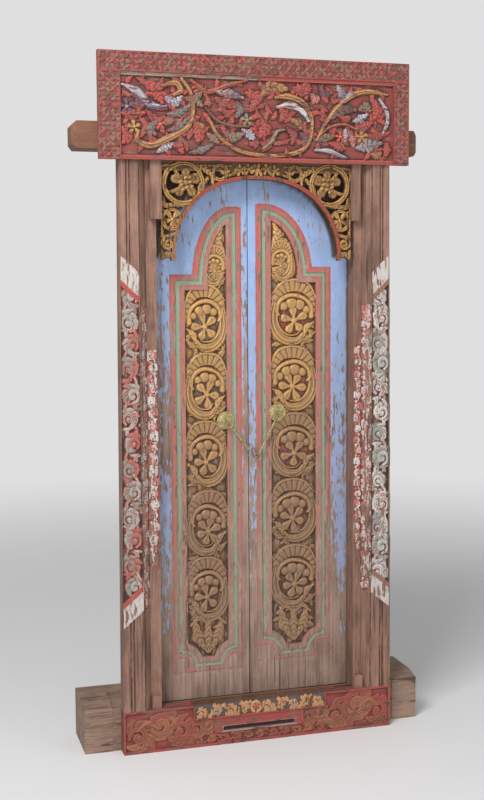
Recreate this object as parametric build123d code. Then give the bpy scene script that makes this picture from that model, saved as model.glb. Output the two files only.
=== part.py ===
from build123d import *
from math import atan2, cos, degrees, hypot, pi, radians, sin, sqrt
import os

# Carved and painted double door in its frame, built as the real one is.
# Millimetres, +Z up, +X to the viewer's right, the carved front faces -Y.
# The origin is under the middle of the whole piece, on the floor.
# Depths below are measured back from the front face of the jambs.

# Sill beam
sill_length = 1165.0
sill_front = 49.0
sill_back = 250.0
sill_height = 158.0
sill_nose_height = 143.0
sill_bevel = 55.0
sill_seat_length = 983.0
sill_seat_depth = 2.0
doorway_floor = 127.0

# Apron board with its inlaid threshold
apron_length = 927.0
apron_height = 142.0
apron_ground = 5.0
threshold_left = -232.0
threshold_right = 226.0
threshold_bottom = 95.0
threshold_proud = 4.0
threshold_edge = 10.0
slot_left = -128.0
slot_right = 117.0
slot_bottom = 46.0
slot_height = 14.0
slot_depth = 8.0

# Jambs
jamb_width_top = 452.0
jamb_width_bottom = 464.0
jamb_depth = 48.0
jamb_inner = 366.0
jamb_splay_out = 397.0
jamb_splay_depth = 28.0
groove_out = 437.0
groove_in = 424.0
groove_width = 3.5
groove_depth = 5.0
carving_top = 1612.0
carving_bottom = 415.0
carving_slant = 60.0
carving_sink = 6.0
carving_edge = 5.0

# Posts behind the jambs
doorway_centre = 4.0
doorway_half = 334.0
doorway_splay = 6.0
post_front = 30.0
post_rebate = 98.0
post_outer = 428.0
post_back = 181.0
post_leaf_room = 7.0
foot_height = 44.0
foot_width = 30.0
foot_depth = 22.0
foot_chamfer = 6.0

# Head beam
head_length = 1168.0
head_front = 69.0
head_back = 181.0
head_bottom = 1943.0
head_height = 84.0
head_chamfer = 14.0

# Header boards
header_length = 1030.0
header_bottom = 1903.5
header_top = 2231.0
header_proud = 14.0
header_thickness = 24.0
panel_left = -445.5
panel_right = 462.0
panel_top = 2170.0
panel_relief = 10.0
border_relief = 3.0
header_rail_length = 990.0
header_rail_bottom = 1950.0
header_rail_height = 70.0
header_cleat_width = 50.0
header_cleat_place = 330.0
header_cleat_depth = 22.0

# Pierced arch board
fret_half = 320.0
fret_front = 17.0
fret_thickness = 20.0
fret_top = 1913.0
fret_bottom = 1592.0
fret_foot = 46.0
arch_crown = 1852.0
arch_rim = 9.0
arch_power = 2.2
cleat_bottom = 1722.0
cleat_face = 6.0
cleat_width = 32.0

# Door leaves
leaf_front = 100.0
leaf_thickness = 38.0
leaf_bottom = 131.0
leaf_top = 1893.0
leaf_gap_left = -10.5
leaf_gap_right = -7.5
leaf_half = 352.0
pin_radius = 15.0
pin_clearance = 0.05
pin_top_length = 28.0
pin_bottom_length = 25.0
field_sink = 10.0
bead_sink = 3.0
bead_width = 8.0
band_width = 25.0

# Pulls
rosette_radius = 30.0
rosette_thickness = 6.0
rosette_boss = 18.0
rosette_left = (-86.9, 1067.6)
rosette_right = (92.6, 1087.8)
pull_depth = 84.0
wire = 1.6
eye_wire = 1.4
eye_radius = 8.0
ring_radius = 11.0
ring_clearance = 0.9
left_hang = -53.8
right_hang = -115.4
left_end = (-17.4, 974.0)
left_end_radius = 4.0
right_end = (17.0, 942.0)
right_end_radius = 12.0
link_radius = 14.0
link_reach = 20.0
link_angle = 121.0
link_tilt = 45.0
rod_side = 6.0
rod_step = 30.0
ring_flats = 16
rod_twist = 540.0
shank_radius = 2.5
shank_length = 24.0
shank_clearance = 0.1

# The whole piece is centred front to back on the floor.
middle_depth = (sill_back - header_proud) / 2
pin_depth = leaf_front + leaf_thickness / 2


def box(x0, x1, y0, y1, z0, z1):
    """A block between two corners."""
    return Pos((x0 + x1) / 2, (y0 + y1) / 2, (z0 + z1) / 2) * Box(x1 - x0, y1 - y0, z1 - z0)


def front(sketch, depth, height):
    """A flat shape drawn as seen from the front, raised forward from a depth."""
    return extrude(Plane.XZ.offset(-depth) * sketch, amount=height, dir=(0, -1, 0))


def upright(sketch, low, high):
    """A section drawn as seen from above, raised between two heights."""
    return extrude(Plane.XY.offset(low) * sketch, amount=high - low, dir=(0, 0, 1))


def outline(*edges):
    return make_face(Wire(edges))


def bow(points):
    """Arcs and lines through points, two spans to an arc."""
    edges = []
    for i in range(0, len(points) - 1, 2):
        run = points[i:i + 3]
        (xa, za), (xb, zb), (xc, zc) = run[0], run[1], run[-1]
        if abs((xb - xa) * (zc - za) - (zb - za) * (xc - xa)) > hypot(xc - xa, zc - za):
            edges.append(ThreePointArc(*run))
        else:
            edges.append(Line(run[0], run[-1]))
    return edges


def blade(points, widths):
    """A curved leaf or stem that follows a line, as wide as asked at each point."""
    left, right = [], []
    last = len(points) - 1
    for i, (x, z) in enumerate(points):
        xa, za = points[max(i - 1, 0)]
        xb, zb = points[min(i + 1, last)]
        run = hypot(xb - xa, zb - za)
        nx, nz = -(zb - za) / run, (xb - xa) / run
        half = widths[i] / 2
        left.append((x + nx * half, z + nz * half))
        right.append((x - nx * half, z - nz * half))
    back = right[::-1]
    return outline(*bow(left), Line(left[-1], back[0]), *bow(back), Line(back[-1], left[0]))


def leaf_shape(x, z, length, width, angle):
    """A pointed leaf made of two arcs."""
    half = length / 2
    shape = outline(
        ThreePointArc((-half, 0), (0, width / 2), (half, 0)),
        ThreePointArc((half, 0), (0, -width / 2), (-half, 0)),
    )
    return Pos(x, z) * Rot(0, 0, angle) * shape


def blossom(x, z, radius, petals, turn=0.0):
    """A flower's outline with shallow notches between its petals."""
    points = []
    for k in range(petals * 3):
        angle = radians(turn) + 2 * pi * k / (petals * 3)
        reach = radius * (0.55 if k % 3 == 0 else 1.0)
        points.append((x + reach * cos(angle), z + reach * sin(angle)))
    return make_face(Polyline(*points, close=True))


def join(shapes):
    """Flat shapes merged into one sketch."""
    first, rest = shapes[0], shapes[1:]
    return first.fuse(*rest) if rest else first


def sill_beam():
    """The heavy beam the door stands on, with its weathered horns."""
    half = sill_length / 2
    side = Polyline(
        (sill_front, 0),
        (sill_back, 0),
        (sill_back, sill_height),
        (sill_front + sill_bevel, sill_height),
        (sill_front, sill_nose_height),
        close=True,
    )
    beam = Pos(-half, 0, 0) * extrude(Plane.YZ * make_face(side), amount=sill_length, dir=(1, 0, 0))
    seat = sill_seat_length / 2
    beam -= box(-seat, seat, sill_front - 1, sill_front + sill_seat_depth, -1, sill_height)
    beam -= box(-seat, seat, sill_front - 1, post_back, apron_height, sill_height + 1)
    stop = doorway_half + doorway_splay
    beam -= box(doorway_centre - stop, doorway_centre + stop, sill_front - 1, post_rebate + 1,
                doorway_floor, sill_height + 1)
    room = leaf_half + post_leaf_room
    beam -= box(doorway_centre - room, doorway_centre + room, post_rebate, sill_back + 1,
                doorway_floor, sill_height + 1)
    for x in pin_places():
        bore = Cylinder(pin_radius + pin_clearance, pin_bottom_length + pin_clearance,
                        align=(Align.CENTER, Align.CENTER, Align.MAX))
        beam -= Pos(x, pin_depth, doorway_floor) * bore
    return beam


def head_beam():
    """The beam behind the header, with bevelled ends and a socket for each leaf."""
    half = head_length / 2
    beam = box(-half, half, head_front, head_back, head_bottom, head_bottom + head_height)
    ends = beam.faces().filter_by(Axis.X).edges()
    beam = chamfer(ends, head_chamfer)
    for x in pin_places():
        bore = Cylinder(pin_radius + pin_clearance, pin_top_length + pin_clearance,
                        align=(Align.CENTER, Align.CENTER, Align.MIN))
        beam -= Pos(x, pin_depth, head_bottom) * bore
    return beam


def apron():
    """The carved board across the foot, with its name slot and a seat for the threshold."""
    half = apron_length / 2
    back = sill_front + sill_seat_depth
    board = box(-half, half, 0, back, 0, apron_height)
    board -= box(threshold_left, threshold_right, -1, back + 1, threshold_bottom, apron_height + 1)
    rim = 9
    field = Pos(0, apron_height / 2) * Rectangle(apron_length - 2 * rim, apron_height - 2.2 * rim)
    tray = Pos(0, (threshold_bottom + slot_bottom) / 2 - 4) * Rectangle(310, 72)
    tray += Pos(0, threshold_bottom + 30) * Rectangle(threshold_right - threshold_left + 12, 90)
    board -= front(field - tray, apron_ground, apron_ground + 1)
    scrolls = []
    for side in (-1, 1):
        for x, z, r in ((385, 62, 26), (275, 44, 18)):
            scrolls.append(Pos(side * x, z) * (Circle(r) - Circle(r * 0.5)))
            scrolls.append(leaf_shape(side * (x - r - 14), z + r * 0.6, 46, 15, side * -28))
        scrolls.append(leaf_shape(side * 200, 44, 70, 26, side * 24))
        scrolls.append(leaf_shape(side * 430, 105, 52, 20, side * 60))
        scrolls.append(leaf_shape(side * 300, 98, 84, 20, side * -16))
        scrolls.append(leaf_shape(side * 345, 28, 76, 13, side * 14))
    for x in (-90, -30, 30, 90):
        scrolls.append(leaf_shape(x, 24, 52, 14, 12))
    for shape in scrolls:
        board += front(shape, apron_ground, apron_ground)
    slot = Pos((slot_left + slot_right) / 2, slot_bottom + slot_height / 2)
    board -= front(slot * Rectangle(slot_right - slot_left, slot_height), slot_depth, slot_depth + 1)
    return board


def threshold():
    """The gilded block let into the apron under the meeting edge of the leaves."""
    back = sill_front + sill_seat_depth
    block = box(threshold_left, threshold_right, -threshold_proud, back, threshold_bottom, apron_height)
    nose = block.faces().sort_by(Axis.Y)[0].edges().sort_by(Axis.Z)[-1]
    block = fillet(nose, threshold_edge)
    middle = (threshold_left + threshold_right) / 2
    level = threshold_bottom + 24
    for x in (-92, 92):
        ring = Circle(17) - Circle(8)
        block += front(Pos(middle + x, level) * ring, -threshold_proud, 2)
    for x in (-180, 180):
        block += front(leaf_shape(middle + x, level, 52, 24, 0), -threshold_proud, 2)
    block += front(blossom(middle, level, 20, 6), -threshold_proud, 2)
    for x in (-132, -48, 48, 132):
        block += front(leaf_shape(middle + x, level, 34, 12, 70 if x < 0 else -70),
                       -threshold_proud, 2)
    return block


def jamb_outline(side, width):
    """Section of a jamb through its mouldings, seen from above."""
    far = groove_out
    near = groove_in
    g, d = groove_width, groove_depth
    points = [
        (width, 0),
        (width, jamb_depth),
        (jamb_inner, jamb_depth),
        (jamb_inner, jamb_splay_depth + 2),
        (jamb_inner + 3, jamb_splay_depth),
        (jamb_splay_out, 0),
        (near, 0),
        (near + g / 2, d),
        (near + g, 0),
        (far - g, 0),
        (far - g / 2, d),
        (far, 0),
    ]
    return Polyline(*[(side * x, y) for x, y in points], close=True)


def jamb(side):
    """A moulded upright, left square and carved between two slanted stops."""
    low = Plane.XY.offset(apron_height) * make_face(jamb_outline(side, jamb_width_bottom))
    high = Plane.XY.offset(header_bottom) * make_face(jamb_outline(side, jamb_width_top))
    post = loft([low, high], ruled=True)
    inner, outer = jamb_splay_out, groove_out + 2
    block = Polyline(
        (side * inner, carving_bottom + carving_slant),
        (side * outer, carving_bottom),
        (side * outer, carving_top),
        (side * inner, carving_top - carving_slant),
        close=True,
    )
    post += front(make_face(block), groove_depth + 1, groove_depth + 1)
    rise = carving_top - carving_bottom
    taper = (jamb_width_bottom - jamb_width_top) / (header_bottom - apron_height)
    edge_low = jamb_width_bottom - taper * (carving_bottom - apron_height) - carving_edge
    edge_high = jamb_width_bottom - taper * (carving_top - apron_height) - carving_edge
    inner = jamb_splay_out + carving_edge / 2
    field = Polyline(
        (side * inner, carving_bottom + carving_slant * 1.9),
        (side * edge_low, carving_bottom + carving_slant * 1.1),
        (side * edge_high, carving_top - carving_slant * 1.1),
        (side * inner, carving_top - carving_slant * 1.9),
        close=True,
    )
    post -= front(make_face(field), carving_sink, carving_sink + 1)
    middle = (inner + edge_low) / 2
    count = 11
    pitch = (rise - 3 * carving_slant) / count
    for k in range(count):
        z = carving_bottom + 1.5 * carving_slant + (k + 0.5) * pitch
        lean = 38 if k % 2 else -38
        shape = leaf_shape(side * middle, z, 66, 30, 90 + side * lean)
        post += front(shape, carving_sink, carving_sink)
    return post


def post(side):
    """The rebated upright behind each jamb, between the two beams."""
    nose = doorway_centre + side * doorway_half
    stop = doorway_centre + side * (doorway_half + doorway_splay)
    wall = doorway_centre + side * (leaf_half + post_leaf_room)
    section = Polyline(
        (nose, post_front),
        (side * jamb_inner, post_front),
        (side * jamb_inner, jamb_depth),
        (side * post_outer, jamb_depth),
        (side * post_outer, post_back),
        (wall, post_back),
        (wall, post_rebate),
        (stop, post_rebate),
        close=True,
    )
    return upright(make_face(section), apron_height, head_bottom)


def foot_block(side):
    """The small plinth in front of each post's foot."""
    outer = side * jamb_inner
    inner = outer - side * foot_width
    back = post_front
    block = box(min(inner, outer), max(inner, outer), back - foot_depth, back,
                apron_height, apron_height + foot_height)
    top = block.faces().sort_by(Axis.Z)[-1]
    return chamfer(top.edges().filter_by(Axis.Y), foot_chamfer)


def studded_board(x0, x1, z0, z1):
    """A header border covered with rows of small overlapping leaves."""
    level = border_relief - header_proud
    board = box(x0, x1, level, header_thickness - header_proud, z0, z1)
    rows = max(1, round((z1 - z0) / 31))
    columns = max(1, round((x1 - x0) / 40))
    dx, dz = (x1 - x0) / columns, (z1 - z0) / rows
    studs = []
    for i in range(columns):
        for k in range(rows):
            x, z = x0 + (i + 0.5) * dx, z0 + (k + 0.5) * dz
            r = min(dx, dz) * 0.42
            lean = 0.35 * r if (i + k) % 2 else -0.35 * r
            stud = Polyline((x - r, z - lean), (x - lean, z + r), (x + r, z + lean), (x + lean, z - r),
                            close=True)
            studs.append(make_face(stud))
    for stud in studs:
        board += front(stud, level, border_relief)
    return board


stems = [
    ([(-252, 2154), (-222, 2110), (-218, 2050), (-240, 2008), (-300, 1970), (-352, 1948), (-392, 1962),
      (-388, 1990)], [10, 14, 16, 22, 26, 24, 18, 8]),
    ([(-222, 2150), (-170, 2118), (-100, 2140), (-40, 2156)], [14, 18, 18, 8]),
    ([(-166, 2034), (-130, 1978), (-60, 1936), (40, 1924), (130, 1938), (170, 1975), (178, 2040),
      (150, 2092), (100, 2112), (56, 2108)], [8, 12, 15, 15, 16, 14, 13, 20, 22, 10]),
    ([(-176, 2068), (-140, 2030), (-90, 2014), (-34, 2014)], [6, 10, 11, 8]),
    ([(194, 1978), (226, 2032), (268, 2086), (322, 2126), (376, 2138), (440, 2130)],
     [8, 13, 16, 20, 18, 6]),
    ([(204, 1992), (240, 2020), (290, 2030), (332, 2014)], [7, 10, 10, 6]),
    ([(412, 2114), (438, 2076), (440, 2036), (422, 2002)], [8, 16, 15, 6]),
]

leaves = [
    ([(-440, 2130), (-396, 2112), (-352, 2072), (-302, 2066)], [10, 30, 28, 12]),
    ([(-404, 2104), (-384, 2084), (-376, 2068)], [12, 20, 6]),
    ([(-392, 2150), (-340, 2126), (-304, 2132)], [8, 26, 10]),
    ([(-360, 2106), (-326, 2098), (-314, 2078)], [8, 24, 10]),
    ([(-298, 2136), (-268, 2140), (-254, 2118), (-276, 2104)], [12, 22, 20, 10]),
    ([(-300, 2092), (-272, 2082), (-252, 2098)], [16, 26, 12]),
    ([(-296, 2044), (-262, 2048), (-226, 2072)], [10, 20, 10]),
    ([(-294, 1994), (-262, 2002), (-228, 2036)], [12, 26, 10]),
    ([(-212, 2030), (-196, 1990), (-200, 1962)], [8, 36, 14]),
    ([(-204, 2020), (-184, 2008)], [10, 16]),
    ([(-444, 2042), (-410, 2040), (-372, 2046)], [10, 30, 10]),
    ([(-440, 2000), (-426, 1972), (-438, 1954)], [12, 36, 14]),
    ([(-330, 1928), (-304, 1944), (-282, 1954)], [10, 26, 12]),
    ([(-282, 1950), (-260, 1944), (-252, 1928)], [10, 26, 12]),
    ([(-228, 1926), (-190, 1936), (-156, 1952)], [8, 18, 8]),
    ([(-190, 2112), (-206, 2094), (-188, 2074)], [12, 26, 12]),
    ([(-144, 2122), (-98, 2114), (-56, 2102)], [10, 26, 12]),
    ([(-140, 2098), (-118, 2084), (-100, 2094)], [10, 24, 10]),
    ([(-70, 2086), (-62, 2064), (-74, 2044)], [12, 22, 10]),
    ([(-40, 2118), (-10, 2104), (-16, 2078)], [12, 36, 16]),
    ([(-54, 2004), (-34, 1992), (-18, 1978)], [10, 24, 16]),
    ([(-118, 1994), (-84, 1980), (-54, 1990)], [10, 28, 10]),
    ([(8, 2112), (40, 2140), (92, 2136)], [14, 34, 16]),
    ([(10, 2040), (20, 2008), (4, 1984)], [12, 36, 14]),
    ([(12, 1944), (44, 1972), (62, 2002), (88, 2008)], [8, 18, 12, 6]),
    ([(62, 2078), (106, 2086), (146, 2068), (168, 2038)], [12, 28, 20, 8]),
    ([(128, 2132), (156, 2138), (160, 2108)], [16, 34, 12]),
    ([(176, 2120), (190, 2108), (184, 2096)], [14, 28, 12]),
    ([(206, 2150), (222, 2126), (244, 2128)], [8, 22, 8]),
    ([(268, 2150), (284, 2120), (282, 2104)], [10, 26, 8]),
    ([(316, 2132), (300, 2118), (284, 2104)], [10, 18, 8]),
    ([(228, 2042), (276, 2074), (326, 2078)], [8, 34, 12]),
    ([(346, 2080), (366, 2086), (378, 2076)], [14, 32, 12]),
    ([(322, 2040), (348, 2050), (368, 2064)], [8, 24, 8]),
    ([(330, 2018), (360, 2028), (384, 2038)], [12, 28, 10]),
    ([(398, 2108), (404, 2076), (396, 2054)], [14, 36, 14]),
    ([(372, 1996), (400, 1992), (424, 2002)], [10, 26, 10]),
    ([(334, 1956), (376, 1966), (416, 1974)], [14, 42, 14]),
    ([(440, 1972), (440, 1952), (436, 1936)], [12, 26, 10]),
    ([(190, 1976), (222, 1986), (250, 1992)], [8, 26, 8]),
    ([(294, 2014), (294, 1996), (292, 1978)], [8, 18, 8]),
    ([(306, 2006), (318, 1984), (322, 1962)], [8, 24, 10]),
    ([(190, 1946), (240, 1944), (284, 1926), (302, 1924)], [8, 18, 14, 6]),
]

buds = [(-426, 2063, 17), (-404, 2002, 14), (-322, 2008, 12), (-40, 2032, 13), (350, 1992, 14), (278, 1966, 14)]


def header_panel():
    """The carved board: stems, curled leaves and buds raised from a plain ground."""
    ground = panel_relief - header_proud
    back = header_thickness - header_proud
    board = box(panel_left, panel_right, ground, back, header_bottom, panel_top)
    strip = 15
    board += box(panel_left, panel_right, ground - panel_relief * 0.6, ground, header_bottom,
                 header_bottom + strip)
    board += box(panel_left, panel_right, ground - panel_relief * 0.6, ground, panel_top - strip,
                 panel_top)
    wide, high = panel_right - panel_left, panel_top - header_bottom
    window = Pos((panel_left + panel_right) / 2, header_bottom + high / 2) * Rectangle(wide, high)
    low = join([blade(*shape) for shape in leaves]) & window
    tall = join([blade(*stem) for stem in stems] + [blossom(x, z, r, 5) for x, z, r in buds]) & window
    board += front(low, ground, panel_relief * 0.75)
    board += front(tall, ground, panel_relief)
    return board


def arch(grow=0.0):
    """The arched opening, wider by an amount."""
    wide = fret_half - fret_foot + grow
    high = arch_crown - fret_bottom + grow
    points = []
    for k in range(-5, 6):
        turn = k * pi / 10
        x = wide * abs(sin(turn)) ** (2 / arch_power)
        z = high * abs(cos(turn)) ** (2 / arch_power)
        points.append((x if k > 0 else -x, z if abs(k) < 5 else 0.0))
    opening = outline(Spline(*points), Line(points[-1], points[0]))
    return Pos(doorway_centre, fret_bottom) * opening


def fret():
    """The pierced and gilded arch board."""
    high = fret_top - fret_bottom
    board = Pos(doorway_centre, fret_bottom + high / 2) * Rectangle(2 * fret_half, high)
    board -= arch()
    back = fret_front + fret_thickness
    relief = 5
    holes, raised, flowers = [], [], []
    for side in (-1, 1):
        for x, z, hole, petals in ((232, 1834, 46, 6), (284, 1716, 24, 5), (300, 1646, 13, 4)):
            place = Pos(doorway_centre + side * x, z)
            holes.append(place * Circle(hole))
            if hole > 20:
                raised.append(place * (Circle(hole * 1.32) - Circle(hole)))
            flowers.append(blossom(doorway_centre + side * x, z, hole * 1.06, petals, 20))
        for x, z, long, wide, angle in ((128, 1874, 44, 22, 0), (268, 1764, 26, 9, -20),
                                        (166, 1886, 22, 8, 0), (66, 1882, 22, 10, 0),
                                        (24, 1878, 18, 8, 0), (298, 1884, 26, 12, -35)):
            holes.append(leaf_shape(doorway_centre + side * x, z, long, wide, -side * angle))
    body = front(board, back, fret_thickness)
    for hole in holes:
        body -= front(hole, back + 1, fret_thickness + relief)
    rim = arch(arch_rim) - arch()
    above = Pos(doorway_centre, fret_bottom + high / 2) * Rectangle(2 * fret_half, high)
    body += front(rim & above, fret_front, relief * 0.6)
    for flower in flowers:
        body += front(flower, back, fret_thickness)
    for ring in raised:
        body += front(ring & above - arch(arch_rim), fret_front, relief)
    return body


def fret_cleat(side):
    """The plain strip that holds the arch board to a post."""
    edge = doorway_centre + side * fret_half
    nose = doorway_centre + side * doorway_half
    outer = side * (fret_half + cleat_width)
    section = Polyline(
        (edge, cleat_face),
        (outer, cleat_face),
        (outer, post_front),
        (nose, post_front),
        (nose, fret_front + fret_thickness),
        (edge, fret_front + fret_thickness),
        close=True,
    )
    return upright(make_face(section), cleat_bottom, header_bottom)


def pin_places():
    """Where the leaves turn, left then right."""
    reach = leaf_half - leaf_thickness / 2
    return [doorway_centre - reach, doorway_centre + reach]


# Each leaf: panel outline on the meeting side and the hinge side, shoulder, arch and foot.
panels = {
    -1: {"near": -58.0, "far": -246.0, "step": -168.0, "shoulder": 1522.0, "top": 1742.0,
         "foot": 247.0, "corner": 52.0, "scrolls": (1403, 1180, 955, 722, 498), "head": 1575.0},
    1: {"near": 47.0, "far": 256.0, "step": 188.0, "shoulder": 1546.0, "top": 1752.0,
        "foot": 264.0, "corner": 56.0, "scrolls": (1420, 1198, 972, 748, 520), "head": 1592.0},
}


def panel_shape(side, grow):
    """Outline of a leaf's panel, a distance inside its drawn line."""
    p = panels[side]
    near, far = p["near"] + side * grow, p["far"] - side * grow
    step, corner = p["step"] - side * grow, p["corner"] + grow
    wide = abs(p["step"] - p["near"]) - grow
    high = p["top"] - p["shoulder"] - grow
    foot = p["foot"] + grow
    reach = sqrt(max(corner**2 - grow**2, 1.0))
    slant = corner / sqrt(2)
    top = p["shoulder"] + high * sqrt(max(1 - (grow / wide) ** 2, 0.0))
    lean = p["shoulder"] + high * 0.6
    lean_x = p["near"] + side * wide * 0.8
    shoulder = p["shoulder"] - grow
    arc_end = max(p["shoulder"], shoulder)
    notch = [Line((step, arc_end), (step, shoulder))] if arc_end > shoulder else []
    return outline(
        Line((near, p["foot"] + reach), (near, top)),
        ThreePointArc((near, top), (lean_x, lean), (step, arc_end)),
        *notch,
        Line((step, shoulder), (far, shoulder)),
        Line((far, shoulder), (far, p["foot"] + reach)),
        ThreePointArc((far, p["foot"] + reach),
                      (p["far"] - side * slant, p["foot"] + slant),
                      (p["far"] - side * reach, foot)),
        Line((p["far"] - side * reach, foot), (p["near"] + side * reach, foot)),
        ThreePointArc((p["near"] + side * reach, foot),
                      (p["near"] + side * slant, p["foot"] + slant),
                      (near, p["foot"] + reach)),
    )


def scroll_shapes(x, z, hand, wide, high):
    """One curled leaf of a door panel: fan, rib ring, lobed tongue, flower and side leaves."""
    def at(u, v):
        return (x + hand * u * wide, z + v * high)

    fan = outline(
        *bow([at(-0.98, 0.28), at(-0.78, 0.76), at(0.0, 1.0), at(0.78, 0.76), at(0.98, 0.18)]),
        *bow([at(0.98, 0.18), at(0.0, 0.52), at(-0.98, 0.28)]),
    )
    ring = outline(
        *bow([at(0.99, 0.1), at(0.72, -0.66), at(-0.25, -0.98)]),
        *bow([at(-0.25, -0.98), at(0.4, -0.5), at(0.6, 0.18)]),
        Line(at(0.6, 0.18), at(0.99, 0.1)),
    )
    tongue = outline(
        *bow([at(-0.6, 0.22), at(0.0, 0.44), at(0.52, 0.22)]),
        *bow([at(0.52, 0.22), at(0.26, 0.0), at(0.0, 0.1), at(-0.3, -0.1), at(-0.6, 0.22)]),
    )
    centre = at(-0.08, -0.36)
    flower = blossom(centre[0], centre[1], 0.42 * wide, 5, 90)
    bud = at(-0.82, -0.28)
    side_leaf = leaf_shape(bud[0], bud[1], 0.6 * high, 0.3 * wide, 90 + hand * 8)
    base = at(-0.66, -0.78)
    low_leaf = leaf_shape(base[0], base[1], 0.5 * high, 0.4 * wide, 90 - hand * 32)
    return [fan, ring, tongue], [flower, side_leaf, low_leaf]


def field_carving(side):
    """The column of curled leaves down a panel, in its higher and lower parts."""
    p = panels[side]
    middle = (p["near"] + p["far"]) / 2 - side * 2
    wide = abs(p["far"] - p["near"]) / 2 - band_width + 3
    pitch = (p["scrolls"][0] - p["scrolls"][-1]) / (len(p["scrolls"]) - 1)
    high = pitch * 0.43
    tall, short = [], []
    for k, z in enumerate(p["scrolls"]):
        hand = side * (-1 if k % 2 == 0 else 1)
        more_tall, more_short = scroll_shapes(middle, z, hand, wide - 4, high)
        tall += more_tall
        short += more_short
    near = p["near"] + side * band_width
    crown_x = near + side * 40
    more_tall, more_short = scroll_shapes(crown_x, p["head"], side, 38, 66)
    tall += more_tall[:2]
    short += more_short[:1]
    short.append(leaf_shape(near + side * 26, p["head"] + 92, 66, 24, 90 + side * 24))
    foot = p["foot"]
    short.append(leaf_shape(middle - side * 24, foot + 104, 110, 44, 90 + side * 38))
    short.append(leaf_shape(middle + side * 30, foot + 92, 90, 44, 90 - side * 36))
    tall.append(leaf_shape(middle, foot + 52, 60, 46, 90))
    return tall, short


def leaf(side):
    """One door leaf, a single plank with its pivots, panel lines and carved field."""
    meeting = leaf_gap_left if side < 0 else leaf_gap_right
    hinge = pin_places()[0 if side < 0 else 1]
    back = leaf_front + leaf_thickness
    section = outline(
        Line((meeting, leaf_front), (hinge, leaf_front)),
        ThreePointArc((hinge, leaf_front), (hinge + side * leaf_thickness / 2, pin_depth), (hinge, back)),
        Line((hinge, back), (meeting, back)),
        Line((meeting, back), (meeting, leaf_front)),
    )
    plank = upright(section, leaf_bottom, leaf_top)
    low, high = doorway_floor - pin_bottom_length, head_bottom + pin_top_length
    pin = Cylinder(pin_radius, high - low, align=(Align.CENTER, Align.CENTER, Align.MIN))
    plank += Pos(hinge, pin_depth, low) * pin
    groove = panel_shape(side, -bead_width / 2) - panel_shape(side, bead_width / 2)
    plank -= front(groove, leaf_front + bead_sink, bead_sink + 1)
    field = panel_shape(side, band_width)
    ground = leaf_front + field_sink
    plank -= front(field, ground, field_sink + 1)
    tall, short = field_carving(side)
    plank += front(join(short) & field, ground, field_sink * 0.7)
    plank += front(join(tall) & field, ground, field_sink)
    x, z = rosette_left if side < 0 else rosette_right
    hole = Pos(x, z) * Circle(shank_radius + shank_clearance)
    plank -= front(hole, leaf_front + shank_length, shank_length + 1)
    return plank


def rosette(side):
    """The dished plate behind a pull."""
    x, z = rosette_left if side < 0 else rosette_right
    hole = shank_radius + shank_clearance
    profile = Polyline((hole, 0), (rosette_radius, 0), (rosette_boss, rosette_thickness),
                       (hole, rosette_thickness), close=True)
    disc = revolve(Plane.XZ * make_face(profile), Axis.Z)
    return Pos(x, leaf_front, z) * Rot(90, 0, 0) * disc


def wire_ring(radius, half):
    """A ring of square wire lying flat, its axis upright, hammered in short flats."""
    flat = RegularPolygon(radius + half, ring_flats) - RegularPolygon(radius - half, ring_flats)
    return upright(flat, -half, half)


def staple(side):
    """The eye through which a pull's ring hangs, with its shank let into the leaf."""
    x, z = rosette_left if side < 0 else rosette_right
    hang = left_hang if side < 0 else right_hang
    eye = Rot(0, -(90 + hang), 0) * Rot(0, 90, 0) * wire_ring(eye_radius, eye_wire)
    end = leaf_front + shank_length - pull_depth
    shank = front(Circle(shank_radius), end, end - eye_radius + eye_wire / 2)
    return Pos(x, pull_depth, z) * (eye + shank)


def swing_centre(side):
    """The middle of a pull's ring, where it hangs in its eye."""
    x, z = rosette_left if side < 0 else rosette_right
    hang = radians(left_hang if side < 0 else right_hang)
    drop = eye_radius + ring_radius - wire - eye_wire - ring_clearance
    return x + drop * cos(hang), z + drop * sin(hang)


def twisted_rod(start, end):
    """A square rod twisted in short steps, each side of a step two flat triangles."""
    steps = round(rod_twist * (end - start) / 130 / rod_step)
    reach = rod_side / sqrt(2)
    levels = []
    for k in range(steps + 1):
        turns = [radians(45 + 90 * i + k * rod_step) for i in range(4)]
        along = start + (end - start) * k / steps
        levels.append([(along, reach * cos(turn), reach * sin(turn)) for turn in turns])
    sides = [levels[0], levels[-1]]
    for low, high in zip(levels, levels[1:]):
        for i in range(4):
            j = (i + 1) % 4
            sides.append([low[i], low[j], high[i]])
            sides.append([low[j], high[j], high[i]])
    return Solid(Shell([Face(Wire.make_polygon(corners)) for corners in sides]))


def pull(side):
    """A twisted rod with a ring at the top and an eye at the bottom."""
    xa, za = swing_centre(side)
    xb, zb = left_end if side < 0 else right_end
    low = left_end_radius if side < 0 else right_end_radius
    length = hypot(xb - xa, zb - za)
    top = Rot(90, 0, 0) * wire_ring(ring_radius, wire)
    bottom = Pos(length, 0, 0) * Rot(90, 0, 0) * wire_ring(low, wire)
    whole = top + twisted_rod(ring_radius, length - low) + bottom
    return Pos(xa, pull_depth, za) * Rot(0, -degrees(atan2(zb - za, xb - xa)), 0) * whole


def link_centre():
    x, z = right_end
    return (x + link_reach * cos(radians(link_angle)), z + link_reach * sin(radians(link_angle)))


def link():
    """The copper ring threaded through the right pull's end."""
    x, z = link_centre()
    ring = Rot(90 + link_tilt, 0, 0) * wire_ring(link_radius, wire)
    return Pos(x, pull_depth, z) * Rot(0, -link_angle, 0) * ring


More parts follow.
